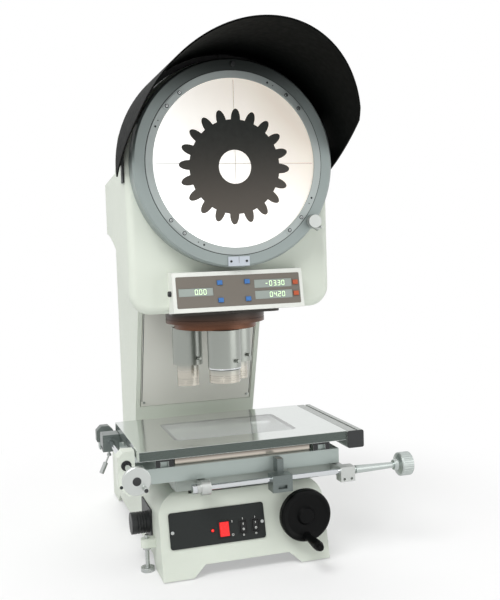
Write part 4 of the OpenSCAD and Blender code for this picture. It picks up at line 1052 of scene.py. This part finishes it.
@dataclass
class Readout:
    """Figures and marks on the leaning readout."""

    lean_deg: float = 11.0
    panel_t: float = 2 * MM
    sunk: float = 0.6 * MM
    figure_h: float = 10 * MM
    figure_share: float = 0.52
    figure_t: float = 0.25 * MM
    pitch_share: float = 1.55
    stroke: float = 1.15 * MM
    stroke_gap: float = 0.4
    rows: tuple[FigureRow, ...] = (
        FigureRow("left", "000", -84 * MM, 33 * MM, 0),
        FigureRow("upper", "-0330", 80 * MM, 45 * MM, 2),
        FigureRow("lower", "0420", 84 * MM, 21 * MM, 1),
    )
    segments: dict[str, str] = field(
        default_factory=lambda: {
            "0": "abcdef", "1": "bc", "2": "abged", "3": "abgcd", "4": "fgbc", "5": "afgcd",
            "6": "afgedc", "7": "abc", "8": "abcdefg", "9": "abfgcd", "-": "g",
        }
    )

    def build(self) -> None:
        """Builds the figures of the three windows."""
        low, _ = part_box("dro_panel")
        foot = low[2] + self.panel_t * math.sin(math.radians(self.lean_deg))
        self.place = facing((0, low[1], foot), self.lean_deg)
        for row in self.rows:
            self._figures(row)

    def _figures(self, row: FigureRow) -> None:
        """Draws one row of seven-segment figures.

        Args:
            row: The figures and their place.
        """
        h, w, s = self.figure_h, self.figure_share * self.figure_h, self.stroke
        level = (-self.sunk, -self.sunk + self.figure_t)
        shape = Solid(self.place)
        bars = {
            "a": (0, h / 2, w, s), "g": (0, 0, w, s), "d": (0, -h / 2, w, s),
            "f": (-w / 2, h / 4, s, h / 2), "b": (w / 2, h / 4, s, h / 2),
            "e": (-w / 2, -h / 4, s, h / 2), "c": (w / 2, -h / 4, s, h / 2),
        }
        pitch = self.pitch_share * w + s
        for i, figure in enumerate(row.text):
            at = row.x + (i - (len(row.text) - 1) / 2) * pitch
            for bar in self.segments[figure]:
                bx, by, bw, bh = bars[bar]
                width, height = (max(side - self.stroke_gap * s, s) for side in (bw, bh))
                shape.box(at + bx, row.y + by, width, height, *level)
            if i == row.dot:
                shape.box(at + pitch / 2, row.y - h / 2, s, s, *level)
        shape.make(f"figures_{row.name}", DIGIT_GREEN, "frame", "display")


@dataclass
class RingTrim:
    """Screws, dots and the index plate on the screen's rings."""

    centre_z: float = 870 * MM
    screw_r: float = 182.75 * MM
    clip_deg: tuple[int, ...] = (45, 135, 225, 315)
    pair_deg: float = 6.0
    head_r: tuple[float, float] = (1.1 * MM, 2.5 * MM)
    head_h: float = 0.1 * MM
    key_r: tuple[float, float] = (1.05 * MM, 1.0 * MM)
    key_h: float = 0.06 * MM
    well_r: tuple[float, float] = (2.8 * MM, 4.3 * MM)
    well_z: tuple[float, float] = (-2.05 * MM, -1.85 * MM)
    hole_deg: tuple[int, ...] = (-26, 64, 154, 244)
    hole_off_deg: float = 2.1
    big_hole_r: tuple[float, float] = (2.3 * MM, 2.1 * MM)
    small_hole_r: tuple[float, float] = (1.3 * MM, 1.2 * MM)
    hole_h: float = 0.12 * MM
    plate_r: float = 203.5 * MM
    plate_size: tuple[float, float] = (47 * MM, 20 * MM)
    plate_t: float = 0.3 * MM
    index_size: tuple[float, float] = (0.7 * MM, 14 * MM)
    index_up: float = 3 * MM
    index_top: float = 0.36 * MM
    plate_screw_x: float = 17 * MM
    plate_screw_r: tuple[float, float] = (2.6 * MM, 2.4 * MM)
    plate_screw_top: float = 1.6 * MM
    set_back: float = 2 * MM
    joint_r: float = 190.55 * MM
    joint_w: float = 1.1 * MM
    joint_h: float = 0.1 * MM
    top_screw: tuple[tuple[float, float], ...] = ((5.5 * MM, 0), (5.5 * MM, 3 * MM), (4.5 * MM, 4 * MM))

    def build(self) -> None:
        """Builds the trim of the turning ring and of the fixed ring."""
        self._clip_screws()
        self._oil_holes()
        self._index_plate()
        self._housing_trim()

    def _at(self, angle_deg: float) -> tuple[float, float]:
        """Gives the place of a screw at an angle round the ring."""
        angle = math.radians(angle_deg)
        return (self.screw_r * math.cos(angle), self.screw_r * math.sin(angle))

    def _clip_screws(self) -> None:
        """Makes the bright heads of the clips' screws, and the dark sockets and wells round them: painted
        shade in the hex sockets and in the counterbore wells.
        """
        place = facing((0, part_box("screen_clips")[0][1], self.centre_z))
        heads, wells = Solid(place), Solid(place)
        for corner in self.clip_deg:
            for side in (-1, 1):
                spot = self._at(corner + side * self.pair_deg)
                heads.hoop(*self.head_r, 0, self.head_h, spot, steps=24)
                wells.disc(self.key_r, 0, self.key_h, spot, steps=6)
                wells.hoop(*self.well_r, *self.well_z, spot, steps=24)
        heads.make("ring_screw_heads", CHROME, "ring", "steel")
        wells.make("ring_screw_painted_well_shade", DARK_INK_AND_SHADE, "ring", "ring_paint")

    def _oil_holes(self) -> None:
        """Makes the pairs of dark discs, a large one beside a small one: painted shade inside the oil holes.
        """
        dots = Solid(facing((0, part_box("screen_ring")[0][1], self.centre_z)))
        for start in self.hole_deg:
            dots.disc(self.big_hole_r, 0, self.hole_h, self._at(start + self.hole_off_deg), steps=20)
            dots.disc(self.small_hole_r, 0, self.hole_h, self._at(start - self.hole_off_deg), steps=16)
        dots.make("ring_oil_hole_painted_shade", DARK_INK_AND_SHADE, "ring", "ring_paint")

    def _index_plate(self) -> None:
        """Makes the bright index plate's face, its line and its screws."""
        place = facing((0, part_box("ring_housing")[0][1], self.centre_z - self.plate_r))
        face = Solid(place)
        face.box(0, 0, *self.plate_size, 0, self.plate_t)
        face.make("index_plate_face", RING_BRIGHT, "frame", "ring_paint")
        marks = Solid(place)
        marks.box(0, self.index_up, *self.index_size, self.plate_t, self.index_top)
        for side in (-1, 1):
            spot = (side * self.plate_screw_x, 0)
            marks.disc(self.plate_screw_r, self.plate_t, self.plate_screw_top, spot, steps=20)
        marks.make("index_plate_marks", DARK_INK_AND_SHADE, "frame", "ring_paint")

    def _housing_trim(self) -> None:
        """Makes the joint line round the turning ring and the screw on top of the hood."""
        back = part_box("ring_housing")[0][1] + self.set_back
        joint = Solid(facing((0, back, self.centre_z)))
        joint.hoop(self.joint_r, self.joint_r + self.joint_w, 0, self.joint_h, steps=160)
        joint.make("ring_joint_line", DARK_INK_AND_SHADE, "frame", "ring_paint")
        top = Solid(facing((0, back, self.centre_z + self.plate_r)))
        top.turned(list(self.top_screw))
        top.make("hood_top_screw", FITTING_BLACK, "frame", "black_paint", smooth=True)


@dataclass
class PanelTrim:
    """Lamp, frames and marks of the switches on the control panel."""

    lean_deg: float = 14.0
    foot_y: float = -343 * MM
    face_out: float = 2.5 * MM
    switch_up: float = 92 * MM
    rocker_x: float = -47 * MM
    rocker_size: tuple[float, float] = (22 * MM, 32 * MM)
    small_x: tuple[float, float] = (-5 * MM, 23 * MM)
    small_size: tuple[float, float] = (14 * MM, 24 * MM)
    lamp_left: float = 26 * MM
    lamp_r: float = 3.0 * MM
    lamp_h: float = 2.6 * MM
    dome_turns: tuple[float, ...] = (0, 0.5, 1.0, 1.45)
    bezel_r: tuple[float, float] = (3.2 * MM, 4.4 * MM)
    bezel_h: float = 0.8 * MM
    rim: float = 2.4 * MM
    rim_h: float = 1.1 * MM
    ink: float = 0.12 * MM
    rocker_mark_right: float = 18 * MM
    rocker_mark_reach: float = 14 * MM
    rocker_bar: tuple[float, float] = (1.2 * MM, 5 * MM)
    rocker_circle_r: tuple[float, float] = (1.6 * MM, 2.5 * MM)
    small_mark_reach: float = 17 * MM
    small_bar: tuple[float, float] = (1 * MM, 4 * MM)
    small_circle_r: tuple[float, float] = (1.2 * MM, 2.0 * MM)
    face_bar_up: float = 6 * MM
    face_bar: tuple[float, float] = (1.2 * MM, 4.5 * MM)
    face_bar_z: tuple[float, float] = (0.6 * MM, 1.75 * MM)
    face_circle_down: float = 5 * MM
    face_circle_r: tuple[float, float] = (1.3 * MM, 2.3 * MM)
    face_circle_z: tuple[float, float] = (1.6 * MM, 2.62 * MM)

    def build(self) -> None:
        """Builds the lamp, the frames and the marks."""
        self.place = facing((0, self.foot_y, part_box("base_casting")[0][2]), self.lean_deg)
        self._lamp_and_frames()
        self._panel_marks()
        for body, x in zip(("contour_rocker", "surface_rocker"), self.small_x):
            self._rocker_marks(body, x)

    def _lamp_and_frames(self) -> None:
        """Makes the power lamp's dome and the frames round it and round each switch."""
        lamp_at = (self.rocker_x - self.lamp_left, self.switch_up)
        lamp = Solid(self.place)
        turns = self.dome_turns
        dome = [(self.lamp_r * math.cos(a), self.face_out + self.lamp_h * math.sin(a)) for a in turns]
        lamp.turned(dome, lamp_at)
        lamp.make("power_lamp", LED_RED, "frame", "red_plastic", smooth=True)
        frames = Solid(self.place)
        frames.hoop(*self.bezel_r, self.face_out, self.face_out + self.bezel_h, lamp_at)
        self._frame(frames, self.rocker_x, *self.rocker_size)
        for x in self.small_x:
            self._frame(frames, x, *self.small_size)
        frames.make("switch_frames", BLACK_PLASTIC, "frame", "black_plastic")

    def _frame(self, frames: Solid, x: float, width: float, height: float) -> None:
        """Adds a raised frame round a switch.

        Args:
            frames: The solid that grows.
            x: Local X of the switch.
            width: Width of the opening.
            height: Height of the opening.
        """
        rim, low, high = self.rim, self.face_out, self.face_out + self.rim_h
        for side in (-1, 1):
            frames.box(x + side * (width + rim) / 2, self.switch_up, rim, height + 2 * rim, low, high)
            frames.box(x, self.switch_up + side * (height + rim) / 2, width, rim, low, high)

    def _panel_marks(self) -> None:
        """Prints a bar and a circle by each switch."""
        marks = Solid(self.place)
        level = (self.face_out, self.face_out + self.ink)
        beside = self.rocker_x + self.rocker_mark_right
        marks.box(beside, self.switch_up + self.rocker_mark_reach, *self.rocker_bar, *level)
        marks.hoop(*self.rocker_circle_r, *level, (beside, self.switch_up - self.rocker_mark_reach))
        for x in self.small_x:
            marks.box(x, self.switch_up + self.small_mark_reach, *self.small_bar, *level)
            marks.hoop(*self.small_circle_r, *level, (x, self.switch_up - self.small_mark_reach))
        marks.make("switch_marks", MARK_WHITE, "frame", "panel")

    def _rocker_marks(self, body: str, x: float) -> None:
        """Makes the bar and the circle on a small rocker's face.

        Args:
            body: The rocker that carries them.
            x: Local X of the rocker.
        """
        mark = Solid(self.place)
        bar_z = [self.face_out + z for z in self.face_bar_z]
        mark.box(x, self.switch_up + self.face_bar_up, *self.face_bar, *bar_z)
        circle_z = [self.face_out + z for z in self.face_circle_z]
        mark.hoop(*self.face_circle_r, *circle_z, (x, self.switch_up - self.face_circle_down), steps=24)
        mark.make(f"{body}_marks", MARK_WHITE, body, "black_plastic")


@dataclass
class StageTrim:
    """Small pieces of the cross-slide stage."""

    edge_h: float = 18.6 * MM
    edge_down: float = 10 * MM
    edge_inset: float = 1 * MM
    edge_t: float = 0.25 * MM
    way_x: float = 175 * MM
    way_in: float = 14 * MM
    way_leg_x: float = 13.9 * MM
    way_leg_up: float = 6.2 * MM
    way_leg: tuple[float, float] = (10 * MM, 12 * MM)
    way_web_up: float = 16 * MM
    way_web: tuple[float, float] = (37.8 * MM, 7 * MM)
    way_cap_t: float = 1 * MM
    bar_corner_r: float = 4 * MM
    bar_cap_t: float = 3 * MM
    strip_z: float = 254.4 * MM
    strip_in: float = 12 * MM
    strip_size: tuple[float, float] = (302 * MM, 15.6 * MM)
    strip_t: float = 4 * MM
    rod_x: float = -250 * MM
    rod_z: float = 251 * MM
    bush_in: float = 4 * MM
    bush_r: tuple[float, float] = (6.5 * MM, 10.8 * MM)
    bush_t: float = 4.6 * MM
    screw_left: float = 12 * MM
    screw_down: float = 45 * MM
    screw_r: tuple[float, float] = (3.6 * MM, 3.4 * MM)
    screw_h: float = 0.4 * MM
    hub_y: float = -437 * MM
    hub: tuple[tuple[float, float], ...] = ((8.6 * MM, -1 * MM), (8.6 * MM, 0.5 * MM), (7.4 * MM, 1.2 * MM))
    grip_off: float = 14 * MM
    grip_r: tuple[float, float] = (4.2 * MM, 4.0 * MM)
    grip_z: tuple[float, float] = (-1 * MM, 0.6 * MM)

    def build(self) -> None:
        """Builds the trim of the table, of the saddle and of the cross wheel."""
        self._table_edge()
        self._rail_caps()
        self._bar_cap()
        self._saddle_trim()
        self._wheel_trim()

    def _table_edge(self) -> None:
        """Makes the dark front edge of the table plate, a thin sheet of painted shade."""
        low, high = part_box("table_plate")
        edge = Solid(facing((0, low[1], high[2] - self.edge_down)))
        edge.box(0, 0, high[0] - low[0] - self.edge_inset, self.edge_h, 0, self.edge_t)
        edge.make("table_front_edge_shade", TABLE_EDGE_SHADE, "table", "steel")

    def _rail_caps(self) -> None:
        """Makes the dark caps on the front ends of the table's slide channels."""
        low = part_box("table_plate")[0]
        caps = Solid(facing((0, low[1] + self.way_in, low[2])))
        for side in (-1, 1):
            x = side * self.way_x
            for leg in (-1, 1):
                caps.box(x + leg * self.way_leg_x, self.way_leg_up, *self.way_leg, 0, self.way_cap_t)
            caps.box(x, self.way_web_up, *self.way_web, 0, self.way_cap_t)
        caps.make("table_rail_caps", FITTING_BLACK, "table", "black_plastic")

    def _bar_cap(self) -> None:
        """Makes the soft-cornered cap on the front end of the scale bar."""
        low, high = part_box("scale_bar")
        cap = Solid(facing(((low[0] + high[0]) / 2, low[1], (low[2] + high[2]) / 2)))
        cap.prism(self._soft_square((high[0] - low[0]) / 2, self.bar_corner_r), 0, self.bar_cap_t)
        cap.make("scale_bar_cap", FITTING_BLACK, "table", "black_plastic")

    @staticmethod
    def _soft_square(half: float, radius: float, arc_steps: int = 4) -> list[tuple[float, float]]:
        """Gives the corners of a square with round corners.

        Args:
            half: Half its side.
            radius: Radius of its corners.
            arc_steps: Number of segments in each round corner.

        Returns:
            Corners, counter-clockwise.
        """
        outline = []
        for turn, (sx, sy) in enumerate(((1, 1), (-1, 1), (-1, -1), (1, -1))):
            for k in range(arc_steps + 1):
                a = math.radians(90 * turn + 90 / arc_steps * k)
                x = sx * (half - radius) + radius * math.cos(a)
                y = sy * (half - radius) + radius * math.sin(a)
                outline.append((x, y))
        return outline

    def _saddle_trim(self) -> None:
        """Makes the polished strip under the table, darkened towards the table by painted shadow, the cross
        rod's bush and the bracket's screw.
        """
        strip = Solid(facing((0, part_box("saddle_plate")[0][1] + self.strip_in, self.strip_z)))
        strip.box(0, 0, *self.strip_size, -self.strip_t, 0)
        strip.make("saddle_strip_painted_shadow", POLISHED_TABLE_SHADOW, "saddle", "steel")
        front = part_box("y_rod_brackets")[0][1]
        bush = Solid(facing((self.rod_x, front + self.bush_in, self.rod_z)))
        bush.hoop(*self.bush_r, 0, self.bush_t)
        bush.make("y_rod_bush", FITTING_BLACK, "saddle", "black_plastic")
        screw = Solid(facing((self.rod_x - self.screw_left, front, self.rod_z - self.screw_down)))
        screw.disc(self.screw_r, 0, self.screw_h)
        screw.make("bracket_screw", DARK_INK_AND_SHADE, "saddle", "black_plastic")

    def _wheel_trim(self) -> None:
        """Makes the cap on the cross wheel's hub and the end of its grip."""
        hub = Solid(facing((self.rod_x, self.hub_y, self.rod_z)))
        hub.turned(list(self.hub))
        hub.make("y_wheel_hub_cap", FITTING_BLACK, "y_rod", "black_plastic", smooth=True)
        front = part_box("y_rod")[0][1]
        grip = Solid(facing((self.rod_x + self.grip_off, front, self.rod_z - self.grip_off)))
        grip.disc(self.grip_r, *self.grip_z)
        grip.make("y_wheel_grip_end", FITTING_BLACK, "y_rod", "black_plastic")


@dataclass
class TurretTrim:
    """Band round the turret's flange, bright collar and dark line at the front barrel's step."""

    spindle_y: float = -130 * MM
    flange_r: float = 95 * MM
    flange_low: float = 509.7 * MM
    flange_t: float = 14 * MM
    band: float = 0.5 * MM
    axis_y: float = -200 * MM
    step_z: float = 424.7 * MM
    body_r: float = 37.5 * MM
    end_r: float = 35 * MM
    collar_h: float = 3.4 * MM
    line_h: float = 1.8 * MM
    skin: float = 0.05 * MM

    def build(self) -> None:
        """Builds the band, the collar under the step and the line under the collar."""
        rim = Solid(Matrix.Translation((0, self.spindle_y, self.flange_low)))
        inner, outer = self.flange_r + self.skin, self.flange_r + self.band
        rim.hoop(inner, outer, self.band, self.flange_t - self.band, steps=96)
        # The band takes the turret finish, so it shows the painted warm reflection of the lamp.
        rim.make("turret_flange_band", TURRET_DARK_LAMP_REFLECTION, "turret", "turret")
        place = Matrix.Translation((0, self.axis_y, self.step_z))
        collar = Solid(place)
        collar.hoop(self.end_r + self.skin, self.body_r - self.skin, -self.collar_h, -self.skin)
        collar.make("front_barrel_collar", CHROME, "turret", "steel")
        line = Solid(place)
        low = -self.collar_h - self.line_h
        line.hoop(self.end_r + self.skin, self.end_r + 8 * self.skin, low, -self.collar_h - self.skin)
        line.make("front_barrel_line", DARK_INK_AND_SHADE, "turret", "black_plastic")


@dataclass
class ColumnTrim:
    """Painted shadow in the gaps down both sides of the column's front cover, drawn as dark lines."""

    lean_deg: float = 19.0
    inset: float = 2.2 * MM
    width: float = 1.8 * MM
    foot_gap: float = 14 * MM
    ink: float = 0.12 * MM
    flat_within: float = 0.2 * MM

    def build(self) -> None:
        """Builds the painted gap shadows on the cover's leaning face."""
        lean = math.radians(self.lean_deg)
        out = Vector((0, -math.cos(lean), -math.sin(lean)))
        up = Vector((0, -math.sin(lean), math.cos(lean)))
        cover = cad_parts["column_front_plate"]
        corners = [cover.matrix_world @ vertex.co for vertex in cover.data.vertices]
        face = max(corner.dot(out) for corner in corners)
        front = [corner for corner in corners if face - corner.dot(out) < self.flat_within]
        low = min(corner.dot(up) for corner in front) + self.foot_gap
        high = max(corner.dot(up) for corner in front)
        side = max(corner.x for corner in front) - self.inset
        place = Matrix.Translation(out * face) @ Matrix((Vector((1, 0, 0)), up, out)).transposed().to_4x4()
        lines = Solid(place)
        for x in (-side, side):
            lines.box(x, (low + high) / 2, self.width, high - low, 0, self.ink)
        lines.make("cover_painted_gap_shadows", DARK_INK_AND_SHADE, "frame", "black_paint")


@dataclass
class RearTrim:
    """Light trap behind the vents, fan guard, inlet pins and the readout's side screw."""

    trap_z: float = 690 * MM
    trap_size: tuple[float, float] = (150 * MM, 100 * MM)
    trap_in: float = 20 * MM
    trap_wall: float = 1.5 * MM
    trap_clear: float = 3.1 * MM
    fan_z: float = 330 * MM
    guard_r: tuple[float, ...] = (10 * MM, 20 * MM, 30 * MM, 40 * MM)
    guard_z: tuple[float, float] = (0.2 * MM, 2 * MM)
    wire_half_mm: float = 0.9
    spoke_ends_mm: tuple[float, float] = (8, 46)
    spoke_deg: tuple[int, ...] = (45, 135, 225, 315)
    spoke_t: float = 1.4 * MM
    pins_mm: tuple[tuple[float, float], ...] = ((-7, -3), (7, -3), (0, 4))
    pin_size: tuple[float, float] = (2 * MM, 4 * MM)
    pin_z: tuple[float, float] = (-16.5 * MM, -4 * MM)
    knob_in: float = 28 * MM
    knob: tuple[tuple[float, float], ...] = ((6 * MM, 0), (6 * MM, 5 * MM), (4.6 * MM, 6.5 * MM))

    def build(self) -> None:
        """Builds the light trap, the guard, the pins and the screw."""
        self.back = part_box("column_rear_cover")[1][1]
        self.turned_round = Matrix.Rotation(math.pi, 4, "Z")
        self._light_trap()
        self._fan_guard()
        self._inlet_pins()
        self._side_screw()

    def _light_trap(self) -> None:
        """Makes the dark tray that stops the screen's light behind the vents."""
        width, height = self.trap_size
        trap = Solid(Matrix.Translation((0, self.back - self.trap_in, self.trap_z)) @ facing((0, 0, 0)))
        trap.box(0, 0, width, height, 0, self.trap_wall)
        depth = self.trap_in - self.trap_clear
        for side in (-1, 1):
            trap.box(side * (width - self.trap_wall) / 2, 0, self.trap_wall, height, -depth, 0)
        trap.make("vent_light_trap", HOOD_BLACK, "frame", "black_paint")

    def _fan_guard(self) -> None:
        """Makes the guard's hoops and spokes."""
        place = Matrix.Translation((0, self.back, self.fan_z))
        guard = Solid(place @ self.turned_round @ facing((0, 0, 0)))
        wire = self.wire_half_mm
        for radius in self.guard_r:
            guard.hoop(radius - wire * MM, radius + wire * MM, *self.guard_z)
        near, far = self.spoke_ends_mm
        spoke = [(near, -wire), (far, -wire), (far, wire), (near, wire)]
        for angle in self.spoke_deg:
            ca, sa = math.cos(math.radians(angle)), math.sin(math.radians(angle))
            outline = [(MM * (x * ca - y * sa), MM * (x * sa + y * ca)) for x, y in spoke]
            guard.prism(outline, 0, self.spoke_t)
        guard.make("fan_guard", PLAIN_STEEL, "frame", "steel")

    def _inlet_pins(self) -> None:
        """Makes the three pins inside the mains inlet."""
        low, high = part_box("mains_inlet")
        face = Matrix.Translation(((low[0] + high[0]) / 2, high[1], (low[2] + high[2]) / 2))
        pins = Solid(face @ self.turned_round @ facing((0, 0, 0)))
        for x, y in self.pins_mm:
            pins.box(x * MM, y * MM, *self.pin_size, *self.pin_z)
        pins.make("inlet_pins", PLAIN_STEEL, "frame", "steel")

    def _side_screw(self) -> None:
        """Makes the screw on the readout's left side."""
        low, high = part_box("dro_housing")
        side = Matrix.Translation((low[0], low[1] + self.knob_in, (low[2] + high[2]) / 2))
        knob = Solid(side @ Matrix.Rotation(-math.pi / 2, 4, "Y"))
        knob.turned(list(self.knob))
        knob.make("readout_side_screw", FITTING_BLACK, "frame", "black_plastic", smooth=True)


def set_up_view() -> None:
    """Sets plain display colours."""
    bpy.context.scene.view_settings.view_transform = "Standard"


def main() -> None:
    """Builds the scene in order."""
    logging.basicConfig(level=logging.INFO)
    set_up_view()
    for node, finish in NODE_FINISH.items():
        dress(node, finish.material())
        LOG.info("node %s: %s", node, finish.name)
    dressing = (RingTrim(), PanelTrim(), StageTrim(), TurretTrim(), ColumnTrim(), RearTrim())
    for part in (Studio(), ScreenPicture(), Readout(), *dressing):
        part.build()
        LOG.info("built %s", type(part).__name__)


if __name__ == "__main__":
    main()
